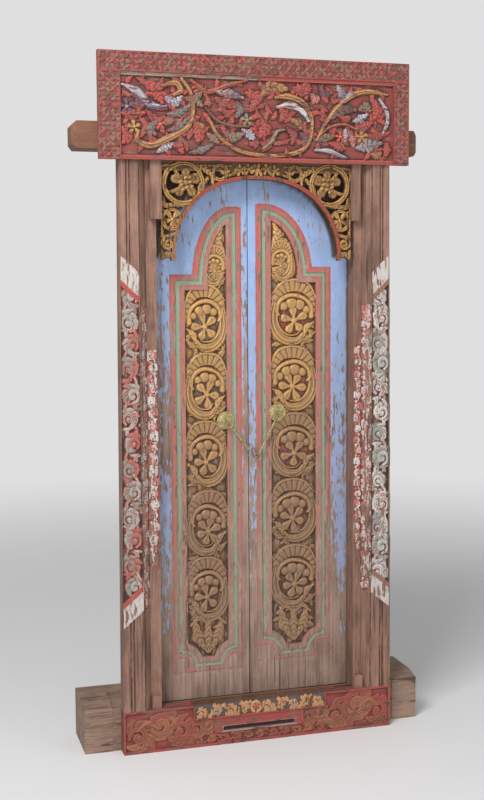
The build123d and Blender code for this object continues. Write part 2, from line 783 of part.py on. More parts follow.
nodes = {
    "sill_beam": sill_beam(),
    "apron_board": apron(),
    "threshold_carving": threshold(),
    "head_beam": head_beam(),
    "header_panel": header_panel(),
    "header_border_top": studded_board(-header_length / 2, header_length / 2, panel_top, header_top),
    "header_border_left": studded_board(-header_length / 2, panel_left, header_bottom, panel_top),
    "header_border_right": studded_board(panel_right, header_length / 2, header_bottom, panel_top),
    "header_rail": box(-header_rail_length / 2, header_rail_length / 2,
                       header_thickness - header_proud, head_front,
                       header_rail_bottom, header_rail_bottom + header_rail_height),
    "arch_fretwork": fret(),
    "link_ring": link(),
}
for side, name in ((-1, "left"), (1, "right")):
    nodes["jamb_" + name] = jamb(side)
    nodes["post_" + name] = post(side)
    nodes["foot_block_" + name] = foot_block(side)
    nodes["fret_cleat_" + name] = fret_cleat(side)
    nodes["leaf_" + name] = leaf(side)
    nodes["rosette_" + name] = rosette(side)
    nodes["staple_" + name] = staple(side)
    nodes["pull_" + name] = pull(side)
    back = header_thickness - header_proud
    place = side * header_cleat_place
    nodes["header_cleat_" + name] = box(place - header_cleat_width / 2, place + header_cleat_width / 2,
                                        back, back + header_cleat_depth,
                                        header_rail_bottom + header_rail_height, header_top - 16)

os.makedirs("parts", exist_ok=True)
for name, shape in nodes.items():
    export_step(Pos(0, -middle_depth, 0) * shape, "parts/" + name + ".step")
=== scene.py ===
import math
import bpy
import numpy as np
from mathutils import Matrix, Vector


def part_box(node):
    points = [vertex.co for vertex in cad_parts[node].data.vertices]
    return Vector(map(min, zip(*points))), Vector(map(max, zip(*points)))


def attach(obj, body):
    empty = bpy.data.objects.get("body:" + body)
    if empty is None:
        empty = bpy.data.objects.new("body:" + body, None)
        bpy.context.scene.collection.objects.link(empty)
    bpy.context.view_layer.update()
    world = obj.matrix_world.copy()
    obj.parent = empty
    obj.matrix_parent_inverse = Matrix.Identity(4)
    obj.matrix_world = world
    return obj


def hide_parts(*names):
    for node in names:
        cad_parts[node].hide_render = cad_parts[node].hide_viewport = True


# Carved and painted double door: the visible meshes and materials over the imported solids.
# Working sizes are millimetres in the part's own frame; metres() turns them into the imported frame.

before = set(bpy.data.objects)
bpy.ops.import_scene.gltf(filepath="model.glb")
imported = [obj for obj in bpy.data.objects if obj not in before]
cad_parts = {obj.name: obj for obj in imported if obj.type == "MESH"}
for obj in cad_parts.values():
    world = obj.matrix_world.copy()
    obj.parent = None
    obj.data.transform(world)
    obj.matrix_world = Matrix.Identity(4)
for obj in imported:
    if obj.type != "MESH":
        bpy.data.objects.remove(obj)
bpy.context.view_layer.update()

MIDDLE = 118.0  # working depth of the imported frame's Y = 0
SIDES = ((-1, "left"), (1, "right"))


def metres(x, depth, z):
    """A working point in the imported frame."""
    return (x / 1000, (depth - MIDDLE) / 1000, z / 1000)


def limits(node):
    """A node's box in working millimetres: x0, x1, front, back, bottom, top."""
    low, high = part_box(node)
    return (low[0] * 1000, high[0] * 1000, low[1] * 1000 + MIDDLE, high[1] * 1000 + MIDDLE,
            low[2] * 1000, high[2] * 1000)


def rgb(red, green, blue):
    """A colour as seen on screen, 0 to 255, in linear light."""
    def line(v):
        v /= 255
        return v / 12.92 if v <= 0.04045 else ((v + 0.055) / 1.055) ** 2.4
    return np.array([line(red), line(green), line(blue)])


BLUE = rgb(149, 177, 220)
RED = rgb(182, 66, 58)
RED_DULL = rgb(150, 62, 52)
GOLD = rgb(190, 146, 82)
GOLD_DARK = rgb(92, 60, 34)
BARE = rgb(122, 94, 74)
WHITE = rgb(204, 198, 192)
TEAL = rgb(92, 122, 120)
NIGHT = rgb(40, 46, 44)
OCHRE = rgb(170, 128, 72)
PALE = rgb(176, 190, 204)
NAVY = rgb(52, 66, 98)
SAGE = rgb(112, 122, 100)
PINK = rgb(196, 128, 118)


def step(low, high, value):
    """A soft rise from 0 at low to 1 at high."""
    t = np.clip((value - low) / (high - low), 0, 1)
    return t * t * (3 - 2 * t)


def mix(a, b, share):
    """A colour between two, for one share or a grid of shares."""
    return a + (b - a) * np.asarray(share)[..., None]


def spread(array, cells):
    """A soft blur over a grid, a few cells each way."""
    out = array
    for axis in (0, 1):
        pad = [(0, 0), (0, 0)]
        pad[axis] = (cells + 1, cells)
        total = np.cumsum(np.pad(out, pad, mode="edge"), axis=axis)
        span = 2 * cells + 1
        if axis == 0:
            out = (total[span:] - total[:-span]) / span
        else:
            out = (total[:, span:] - total[:, :-span]) / span
    return out


def ticks(low, high, fine, carved=None, coarse=10):
    """Grid lines between two ends, close together over the carved stretch."""
    fine_low, fine_high = np.clip(carved or (low, high), low, high)
    parts = []
    for a, b, pitch in ((low, fine_low, coarse), (fine_low, fine_high, fine), (fine_high, high, coarse)):
        if b - a > 0.01:
            parts.append(np.linspace(a, b, max(2, int(round((b - a) / pitch)) + 1)))
    return np.unique(np.round(np.concatenate(parts), 4))


def smooth(points, widths):
    """A smooth run of points through the given ones, with the width at each."""
    steps = 9
    p = np.array(points, float)
    w = np.array(widths, float)
    ends = np.vstack([2 * p[0] - p[1], p, 2 * p[-1] - p[-2]])
    path, wide = [], []
    for i in range(len(p) - 1):
        a, b, c, d = ends[i:i + 4]
        for k in range(steps):
            t = k / steps
            path.append(0.5 * (2 * b + (c - a) * t + (2 * a - 5 * b + 4 * c - d) * t**2
                               + (3 * b - a - 3 * c + d) * t**3))
            wide.append(w[i] + (w[i + 1] - w[i]) * (3 * t**2 - 2 * t**3))
    path.append(p[-1])
    wide.append(w[-1])
    return np.array(path), np.array(wide)


class Carving:
    """Heights and colours over a grid seen from the front, built up stroke by stroke."""

    def __init__(self, xs, zs, colour):
        self.xs, self.zs = xs, zs
        self.x, self.z = np.meshgrid(xs, zs)
        self.height = np.zeros(self.x.shape)
        self.colour = np.empty(self.x.shape + (3,))
        self.colour[:] = colour
        self.inside = np.full(self.x.shape, -50.0)
        self.gilt = np.zeros(self.x.shape)

    def paint(self, where, colour):
        """Gives the points of a mask a colour."""
        self.colour = np.where(where[..., None], colour, self.colour)

    def from_edge(self):
        """Distance of every point from the nearest side of the grid."""
        return np.minimum(np.minimum(self.x - self.xs[0], self.xs[-1] - self.x),
                          np.minimum(self.z - self.zs[0], self.zs[-1] - self.z))

    def window(self, path, pad):
        """The part of the grid that a path can touch."""
        x0, x1 = np.searchsorted(self.xs, (path[:, 0].min() - pad, path[:, 0].max() + pad))
        z0, z1 = np.searchsorted(self.zs, (path[:, 1].min() - pad, path[:, 1].max() + pad))
        return slice(z0, z1), slice(x0, x1)

    def stroke(self, points, widths, height, colour, dome=0.65, groove=0.0, cuts=0, veins=0, lobes=0,
               tip=None, gilt=0.0):
        """Raises one leaf or stem along a line and paints it."""
        path, wide = smooth(points, widths)
        place = self.window(path, wide.max() / 2 + 6)
        gx, gz = self.x[place], self.z[place]
        if gx.size == 0:
            return
        a, d = path[:-1], np.diff(path, axis=0)
        long = np.maximum((d**2).sum(1), 1e-9)
        px, pz = gx[..., None] - a[:, 0], gz[..., None] - a[:, 1]
        t = np.clip((px * d[:, 0] + pz * d[:, 1]) / long, 0, 1)
        away = np.hypot(px - t * d[:, 0], pz - t * d[:, 1])
        best = away.argmin(-1)[..., None]
        dist = np.take_along_axis(away, best, -1)[..., 0]
        t = np.take_along_axis(t, best, -1)[..., 0]
        best = best[..., 0]
        run = np.sqrt(long)
        start = np.concatenate([[0], np.cumsum(run)])
        s = (start[best] + t * run[best]) / start[-1]
        half = (wide[best] + (wide[best + 1] - wide[best]) * t) / 2
        if lobes:
            half = half * (0.68 + 0.32 * np.abs(np.sin(math.pi * lobes * s)) ** 0.7)
        half = np.maximum(half, 0.01)
        u = dist / half
        rise = (1 - dome) + dome * np.sqrt(np.clip(1 - u * u, 0, 1))
        if groove:
            rise = rise - groove * np.exp(-((u / 0.3) ** 2))
        if cuts:
            rise = rise - 0.24 * (0.5 + 0.5 * np.cos(2 * math.pi * cuts * s)) ** 4
        if veins:
            rise = rise - 0.26 * (0.5 + 0.5 * np.cos(2 * math.pi * (veins * s - 0.8 * u))) ** 3
        better = (u < 1) & (height * rise > self.height[place])
        self.height[place] = np.where(better, height * rise, self.height[place])
        shade = np.empty(gx.shape + (3,))
        shade[:] = colour
        if tip is not None:
            shade = mix(shade, tip, np.clip(s * 1.4 - 0.4, 0, 1))
        self.colour[place] = np.where(better[..., None], shade, self.colour[place])
        self.gilt[place] = np.where(better, gilt, self.gilt[place])
        self.inside[place] = np.maximum(self.inside[place], half - dist)

    def bud(self, x, z, radius, height, colour, petals=5, turn=0.0, core=None, gilt=0.0):
        """A flower with rounded petals and a raised centre."""
        for k in range(petals):
            angle = turn + 2 * math.pi * k / petals
            start = radius * 0.0744
            tip = (x + radius * math.cos(angle), z + radius * math.sin(angle))
            root = (x + start * math.cos(angle), z + start * math.sin(angle))
            self.stroke([root, tip], [radius * 0.35, radius * 0.8], height, colour, 0.7, 0.2, gilt=gilt)
        self.stroke([(x - 0.5, z), (x + 0.5, z)], [radius * 0.55] * 2, height * 1.25,
                    colour if core is None else core, 0.6, gilt=gilt)

    def dirt_shade_and_ridge_highlight(self, dirt_and_shade, amount, cells, depth, ridge_highlight):
        """Darkens what lies low, as dirt and painted shade in the hollows, and lightens the raised edges, as
        rubbing and a painted highlight.
        """
        low = spread(self.height, cells) - self.height
        wide = spread(self.height, cells * 3) - self.height
        # Painted shade, with dirt: the lower a point lies below its surroundings, the darker it is painted
        dark = np.clip(low / depth + 0.35 * wide / depth, 0, 1) * amount
        self.colour = mix(self.colour, dirt_and_shade, dark)
        # Painted highlight: raised parts are painted lighter
        self.colour = self.colour * (1 + ridge_highlight * np.clip(-low / depth, 0, 1))[..., None]


def fill_mesh(name, verts, faces, layers, material, body, nodes, sharp=38):
    """One object from points and faces, with its vertex values, on its body."""
    mesh = bpy.data.meshes.new(name)
    mesh.from_pydata(verts, [], faces)
    colour = np.ones((len(verts), 4), np.float32)
    if "colour" in layers:
        colour[:, :3] = layers["colour"]
        attribute = mesh.attributes.new("Paint", "FLOAT_COLOR", "POINT")
        attribute.data.foreach_set("color", colour.ravel())
    for key, label in (("wear", "Wear"), ("gilt", "Gilt")):
        if key in layers:
            attribute = mesh.attributes.new(label, "FLOAT", "POINT")
            attribute.data.foreach_set("value", np.asarray(layers[key], np.float32).ravel())
    mesh.polygons.foreach_set("use_smooth", [True] * len(mesh.polygons))
    mesh.set_sharp_from_angle(angle=math.radians(sharp))
    mesh.update()
    mesh.materials.append(material)
    obj = bpy.data.objects.new(name, mesh)
    bpy.context.scene.collection.objects.link(obj)
    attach(obj, body)
    if nodes:
        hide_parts(*nodes)


def loft_mesh(name, x, depth, zs, layers, material, body, nodes, extra=None):
    """A closed skin through rows of points that run round the section at each height."""
    rows, count = x.shape
    z = np.repeat(zs[:, None], count, axis=1)
    verts = np.stack([x / 1000, (depth - MIDDLE) / 1000, z / 1000], -1).reshape(-1, 3)
    grid = np.arange(rows * count).reshape(rows, count)
    ahead = np.roll(grid, -1, axis=1)
    quads = np.stack([grid[:-1], ahead[:-1], ahead[1:], grid[1:]], -1).reshape(-1, 4)
    faces = quads.tolist() + [grid[0][::-1].tolist(), grid[-1].tolist()]
    verts = verts.tolist()
    values = {key: np.asarray(layer).reshape((rows * count,) + np.asarray(layer).shape[2:])
              for key, layer in layers.items()}
    if extra:
        more, more_faces = extra
        base = len(verts)
        verts += [tuple(v) for v in more]
        faces += [[base + i for i in face] for face in more_faces]
        for key, layer in values.items():
            last = np.repeat(layer[:1], len(more), axis=0)
            values[key] = np.concatenate([layer, last])
    fill_mesh(name, verts, faces, values, material, body, nodes)


def around(front_x, front_depth, loop):
    """Front points joined to the rest of a section, given as x and depth pairs."""
    rows = front_x.shape[0]
    more_x = np.repeat(np.array([[p[0] for p in loop]]), rows, 0)
    more_y = np.repeat(np.array([[p[1] for p in loop]]), rows, 0)
    return np.concatenate([front_x, more_x], 1), np.concatenate([front_depth, more_y], 1)


def widen(layer, count, value=None):
    """Edge values, or one value, carried on round the section."""
    layer = np.asarray(layer)
    if value is not None:
        return np.concatenate([layer, np.full((len(layer), count), value)], 1)
    right = np.repeat(layer[:, -1:], count - count // 2, axis=1)
    left = np.repeat(layer[:, :1], count // 2, axis=1)
    return np.concatenate([layer, right, left], 1)


class Shader:
    """Shorthand for building a material's nodes."""

    def __init__(self, name):
        self.material = bpy.data.materials.new(name)
        self.material.use_nodes = True
        self.tree = self.material.node_tree
        self.shader = self.tree.nodes["Principled BSDF"]
        self.place = self.tree.nodes.new("ShaderNodeTexCoord").outputs["Object"]

    def node(self, kind, **inputs):
        """A new node with values or links on its named sockets."""
        made = self.tree.nodes.new(kind)
        for key, value in inputs.items():
            self.put(made.inputs[key.replace("_", " ")], value)
        return made

    def put(self, socket, value):
        """Links another socket in, or sets a plain value."""
        if isinstance(value, bpy.types.NodeSocket):
            self.tree.links.new(value, socket)
        else:
            socket.default_value = value

    def noise(self, scale, stretch=(1, 1, 1), detail=4, rough=0.6, warp=0.0):
        """Noise in object coordinates, drawn out along an axis where the stretch is small."""
        mapping = self.node("ShaderNodeMapping", Vector=self.place, Scale=stretch)
        return self.node("ShaderNodeTexNoise", Vector=mapping.outputs[0], Scale=scale, Detail=detail,
                         Roughness=rough, Distortion=warp).outputs["Fac"]

    def maths(self, how, a, b):
        made = self.tree.nodes.new("ShaderNodeMath")
        made.operation = how
        self.put(made.inputs[0], a)
        self.put(made.inputs[1], b)
        return made.outputs[0]

    def weigh(self, *terms):
        """A sum of values, each times its share."""
        parts = [self.maths("MULTIPLY", value, share) for value, share in terms]
        total = parts[0]
        for part in parts[1:]:
            total = self.maths("ADD", total, part)
        return total

    def remap(self, value, low, high, to_low=0.0, to_high=1.0):
        """A soft step from one range to another."""
        made = self.node("ShaderNodeMapRange", Value=value, From_Min=low, From_Max=high, To_Min=to_low,
                         To_Max=to_high)
        made.interpolation_type = "SMOOTHSTEP"
        return made.outputs[0]

    def mix(self, share, a, b):
        made = self.tree.nodes.new("ShaderNodeMix")
        made.data_type = "RGBA"
        self.put(made.inputs[0], share)
        for socket, value in ((made.inputs[6], a), (made.inputs[7], b)):
            self.put(socket, (*value.tolist(), 1.0) if isinstance(value, np.ndarray) else value)
        return made.outputs[2]

    def attribute(self, name, output):
        """One of the mesh's own vertex values."""
        made = self.tree.nodes.new("ShaderNodeAttribute")
        made.attribute_name = name
        return made.outputs[output]

    def finish(self, colour, rough, height=None, distance=0.0006, metal=0.0, strength=0.7):
        """Connects the surface and hands the material back."""
        self.put(self.shader.inputs["Base Color"], colour)
        self.put(self.shader.inputs["Roughness"], rough)
        self.put(self.shader.inputs["Metallic"], metal)
        if height is not None:
            bump = self.node("ShaderNodeBump", Distance=distance, Strength=strength, Height=height)
            self.put(self.shader.inputs["Normal"], bump.outputs[0])
        return self.material


def timber(name, light, dark, grain=(1, 1, 0.05), crack=0.6):
    """Weathered timber with grain along one axis and fine splits."""
    s = Shader(name)
    streak = s.noise(80, grain, 5, 0.65, 0.5)
    fine = s.noise(300, grain, 3, 0.7)
    broad = s.noise(6, (1, 1, 1), 4, 0.65)
    tone = s.weigh((streak, 0.5), (fine, 0.5))
    colour = s.mix(s.remap(tone, 0.34, 0.66), dark, light)
    colour = s.mix(s.remap(broad, 0.4, 0.66, 0.0, 0.45), colour, light * 1.25)
    split = s.remap(s.noise(52, (grain[0], grain[1], grain[2] * 0.5), 2, 0.5, 0.5), 0.31, 0.35, crack, 0.0)
    colour = s.mix(split, colour, dark * 0.2)
    height = s.maths("SUBTRACT", tone, split)
    return s.finish(colour, 0.8, height, 0.0022, strength=0.9)


def painted(name, wood_light, wood_dark, gilt_metal=0.25, flat=False):
    """Old paint over timber, worn where the mesh's Wear value is high."""
    def along(squeeze):
        return (squeeze, 1, 1) if flat else (1, 1, squeeze)

    s = Shader(name)
    paint = s.attribute("Paint", "Color")
    wear = s.attribute("Wear", "Fac")
    streak = s.noise(38, along(0.08), 5, 0.68, 0.3)
    fine = s.noise(170, along(0.14), 4, 0.7)
    spots = s.noise(24, along(0.5), 6, 0.72)
    dash = s.noise(120, along(0.24), 2, 0.5)
    grain = s.noise(110, along(0.04), 5, 0.7, 0.4)
    stain = s.noise(11, along(0.4), 4, 0.6)
    tone = s.weigh((grain, 0.5), (stain, 0.5))
    wood = s.mix(s.remap(tone, 0.36, 0.64), wood_dark, wood_light)
    split = s.remap(s.noise(75, along(0.02), 2, 0.5, 0.4), 0.33, 0.36, 0.75, 0.0)
    wood = s.mix(split, wood, wood_dark * 0.4)
    loss = s.remap(s.weigh((streak, 0.26), (spots, 0.18), (fine, 0.22), (dash, 0.34)), 0.37, 0.63)
    lead = s.maths("SUBTRACT", wear, loss)
    thin = s.remap(lead, -0.4, 0.02, 0.0, 0.5)
    gone = s.remap(lead, -0.03, 0.04)
    shade = s.mix(s.remap(spots, 0.36, 0.62, 0.0, 0.3), paint, s.mix(0.62, paint, wood_dark))
    colour = s.mix(gone, s.mix(thin, shade, s.mix(0.5, shade, wood_light)), wood)
    speck = s.remap(s.noise(380, along(0.5), 2, 0.6), 0.60, 0.70, 0.0, 0.5)
    colour = s.mix(speck, colour, wood_dark)
    gilt = s.attribute("Gilt", "Fac")
    tarnish = s.remap(s.noise(130, (1, 1, 1), 4, 0.7), 0.42, 0.62, 0.0, 0.5)
    colour = s.mix(s.maths("MULTIPLY", tarnish, gilt), colour, s.mix(0.7, colour, wood_dark))
    rough = s.maths("SUBTRACT", 0.74, s.maths("MULTIPLY", gilt, 0.24))
    height = s.weigh((fine, 0.6), (gone, -0.6), (grain, 0.5))
    return s.finish(colour, rough, height, 0.0012, s.maths("MULTIPLY", gilt, gilt_metal), 0.85)


def metal(name, light, dark):
    """Old brass or copper with patina in patches."""
    s = Shader(name)
    patch = s.noise(90, (1, 1, 1), 5, 0.65)
    fine = s.noise(700, (1, 1, 1), 2, 0.6)
    colour = s.mix(s.remap(patch, 0.38, 0.66), dark, light)
    return s.finish(colour, s.remap(patch, 0.3, 0.7, 0.62, 0.42), fine, 0.0002, 0.75)


leaf_paint = painted("leaf_paint", rgb(166, 140, 124), rgb(112, 88, 76))
carved_paint = painted("carved_paint", rgb(154, 116, 98), rgb(94, 68, 57))
board_paint = painted("board_paint", rgb(140, 98, 84), rgb(78, 46, 40), flat=True)
gilt_paint = painted("gilt_paint", rgb(122, 84, 52), rgb(66, 42, 28), 0.3)
sill_wood = timber("sill_wood", rgb(154, 128, 110), rgb(90, 68, 55), (0.05, 1, 1), 0.7)
head_wood = timber("head_wood", rgb(134, 92, 70), rgb(88, 58, 43), (0.05, 1, 1), 0.5)
post_wood = timber("post_wood", rgb(148, 112, 94), rgb(86, 62, 52))
brass = metal("old_brass", rgb(192, 174, 124), rgb(148, 138, 98))
copper = metal("old_copper", rgb(196, 140, 92), rgb(134, 96, 60))

# Measured lines of the two leaf panels, as in the part's source
PANELS = {
    -1: {"near": -58.0, "far": -246.0, "step": -168.0, "shoulder": 1522.0, "top": 1742.0,
         "foot": 247.0, "corner": 52.0, "scrolls": (1403, 1180, 955, 722, 498), "head": 1575.0},
    1: {"near": 47.0, "far": 256.0, "step": 188.0, "shoulder": 1546.0, "top": 1752.0,
        "foot": 264.0, "corner": 56.0, "scrolls": (1420, 1198, 972, 748, 520), "head": 1592.0},
}
BAND = 25.0  # from the panel's green line in to the carved field
RED_EDGE = 27.0  # from the green line out to the edge of the red band
FIELD_SINK = 10.0
ARCH_MIDDLE = 4.0


def arch_edge(x, z):
    """Negative inside the arched opening, about millimetres outside it."""
    wide, high, power = 274.0, 260.0, 2.2
    dx, dz = np.abs(x - ARCH_MIDDLE) / wide, np.maximum(z - 1592.0, 0) / high
    value = (dx**power + dz**power) ** (1 / power)
    return (value - 1) * np.where(dz > dx, high, wide) * 0.95


def panel_depth(side, x, z):
    """Distance inside a leaf's drawn panel line, negative outside it."""
    p = PANELS[side]
    inward = side * (x - p["near"])
    outward = side * (p["far"] - x)
    low = z - p["foot"]
    for corner in (p["near"], p["far"]):
        low = np.minimum(low, np.hypot(x - corner, z - p["foot"]) - p["corner"])
    wide, high = abs(p["step"] - p["near"]), p["top"] - p["shoulder"]
    dx, dz = x - p["near"], z - p["shoulder"]
    slope = 2 * np.sqrt((dx / wide**2) ** 2 + (dz / high**2) ** 2) + 1e-6
    oval = (1 - (dx / wide) ** 2 - (dz / high) ** 2) / slope
    arched = np.where(dz > 0, oval, side * (p["step"] - x))
    square = np.minimum(outward, -dz)
    return np.minimum(np.minimum(inward, low), np.maximum(arched, square))


def medallion(c, x, z, hand, wide, high, gold, pocket, draw):
    """One curled leaf of a panel: fluted fan, rolled rib, fruit and the ribbed ring that closes it."""
    dark = mix(gold, GOLD_DARK, 0.32)

    def leaf(points, widths, height, tone, **how):
        c.stroke([(x + hand * u * wide, z + v * high) for u, v in points], widths, height, tone,
                 gilt=0.9, **how)

    def dot(u, v, radius, height, colour):
        cx, cz = x + hand * u * wide, z + v * high
        c.stroke([(cx - 0.5, cz), (cx + 0.5, cz)], [2 * radius * wide] * 2, height, colour, dome=0.85,
                 gilt=0.9)

    hollow = ((c.x - x) / wide) ** 2 + ((c.z - z + 0.1 * high) / high) ** 2 < 0.66
    hollow &= c.height < 4.5
    c.paint(hollow, pocket)
    c.height = np.where(hollow, 0, c.height)
    for k in range(13):
        angle = k * 2 * math.pi / 13 + draw.uniform(-0.15, 0.15)
        u, v = 0.9 * math.cos(angle), 0.92 * math.sin(angle)
        bend = angle + draw.uniform(0.5, 0.9)
        end = (u * 1.12 + 0.2 * math.cos(bend), v * 1.1 + 0.16 * math.sin(bend))
        leaf([(u, v), (u * 1.12, v * 1.1), end], [10, 20, 6], 5.4, dark, veins=3)
    ring = [(0.8, 0.3), (0.9, -0.16), (0.76, -0.56), (0.36, -0.84), (-0.16, -0.86), (-0.42, -0.66)]
    leaf(ring, [26, 34, 38, 32, 22, 10], 7.6, dark, dome=0.5)
    for share, thick in ((0.8, 6), (1.0, 8), (1.13, 6)):
        leaf([(max(-1, min(1, u * share)), v * share) for u, v in ring],
             [thick, thick * 1.2, thick * 1.3, thick, thick * 0.8, 3], 9.2, gold, dome=0.75)
    leaf([(-0.46, -0.72), (-0.62, -0.46), (-0.9, -0.3)], [12, 22, 5], 8.0, gold, veins=3)
    leaf([(-0.4, -0.84), (-0.66, -0.8), (-0.96, -0.62)], [10, 20, 5], 7.2, dark, veins=3)
    petals = 5 + int(draw.integers(2))
    turn = draw.uniform(0, 1)
    for k in range(petals):
        angle = turn + k * 2 * math.pi / petals
        reach = draw.uniform(0.36, 0.5)
        leaf([(-0.04 + 0.1 * math.cos(angle), -0.24 + 0.1 * math.sin(angle)),
              (-0.04 + reach * math.cos(angle), -0.24 + reach * 0.82 * math.sin(angle))],
             [10, 27], 7.4, mix(gold, dark, draw.uniform(0, 0.7)), dome=0.75, groove=0.25)
    dot(-0.04, -0.24, 0.13, 9.4, gold)
    leaf([(-0.92, 0.0), (-0.88, 0.4), (-0.58, 0.74), (-0.08, 0.88), (0.44, 0.78), (0.84, 0.42)],
         [12, 22, 34, 44, 42, 22], 8.4, mix(gold, dark, 0.3), cuts=12, dome=0.5)
    leaf([(-0.98, -0.1), (-0.98, 0.44), (-0.68, 0.9), (-0.1, 1.04), (0.5, 0.94), (0.94, 0.56)],
         [5, 6, 8, 9, 8, 5], 9.0, gold)
    leaf([(-0.8, -0.1), (-0.78, 0.22), (-0.46, 0.46), (0.06, 0.56), (0.5, 0.44), (0.76, 0.12), (0.62, -0.06)],
         [20, 17, 13, 15, 17, 15, 8], 10.0, gold, dome=0.85)
    for u, v, radius in ((-0.6, 0.1, 0.17), (-0.3, 0.26, 0.22), (0.06, 0.3, 0.24), (0.4, 0.22, 0.18)):
        dot(u, v, radius, 9.6, mix(gold, dark, 0.25))


def leaf_carving(side, c, depth):
    """Everything in the sunk field of one leaf."""
    p = PANELS[side]
    draw = np.random.default_rng(40 + side)
    middle = (p["near"] + p["far"]) / 2
    wide = abs(p["far"] - p["near"]) / 2 - BAND + 1
    centres = p["scrolls"]
    high = (centres[0] - centres[-1]) / (len(centres) - 1) * 0.47
    near = p["near"] + side * BAND
    pocket = depth > BAND
    bright_above, fade = 1300, 560 if side < 0 else 380

    def gold_at(z):
        return mix(GOLD, mix(BARE, GOLD, 0.25), np.clip((bright_above - z) / fade, 0, 1))

    c.paint(pocket, mix(gold_at(c.z), GOLD_DARK, np.full(c.x.shape, 0.42)))
    for _ in range(150):
        x = middle + draw.uniform(-1, 1) * wide
        z = draw.uniform(p["foot"] + 30, p["top"] - 40)
        lean = draw.uniform(0, math.pi)
        dx, dz = 17 * math.cos(lean), 17 * math.sin(lean)
        c.stroke([(x - dx, z - dz), (x + 4, z + 2), (x + dx, z + dz)], [7, 17, 5], 4.2,
                 mix(gold_at(z), GOLD_DARK, 0.2), veins=4, gilt=0.8)

    def inner(z):
        lit = RED if side > 0 else rgb(124, 92, 84)
        return mix(lit, rgb(96, 62, 50), np.clip((1250 - z) / 800, 0, 1))

    medallion(c, near + side * 38, p["head"], side, 38, 64, GOLD, inner(1600), draw)
    c.stroke([(near + side * 8, p["head"] + 56), (near + side * 26, p["head"] + 88),
              (near + side * 8, p["head"] + 138)], [16, 34, 8], 8, GOLD, veins=6, lobes=3, gilt=0.9)
    for k, z in enumerate(centres):
        hand = side * (-1 if k % 2 == 0 else 1)
        medallion(c, middle, z, hand, wide, high, gold_at(z), inner(z), draw)
    low = gold_at(300)
    foot = p["foot"]
    for lean, reach, thick in ((-1, 150, 44), (1, 140, 42), (0, 150, 36)):
        c.stroke([(middle + lean * 46, foot + reach), (middle + lean * 34, foot + 92),
                  (middle + lean * 4, foot + 38)], [16, thick, 12], 8 + (lean == 0), low, veins=6, lobes=3,
                 gilt=0.5)
    for lean in (-1, 1):
        c.stroke([(middle, foot + 132), (middle + lean * 30, foot + 156), (middle + lean * 60, foot + 132)],
                 [10, 16, 8], 9, low, groove=0.3, gilt=0.5)
    c.height = np.where(pocket, np.minimum(c.height, FIELD_SINK) - FIELD_SINK, 0)


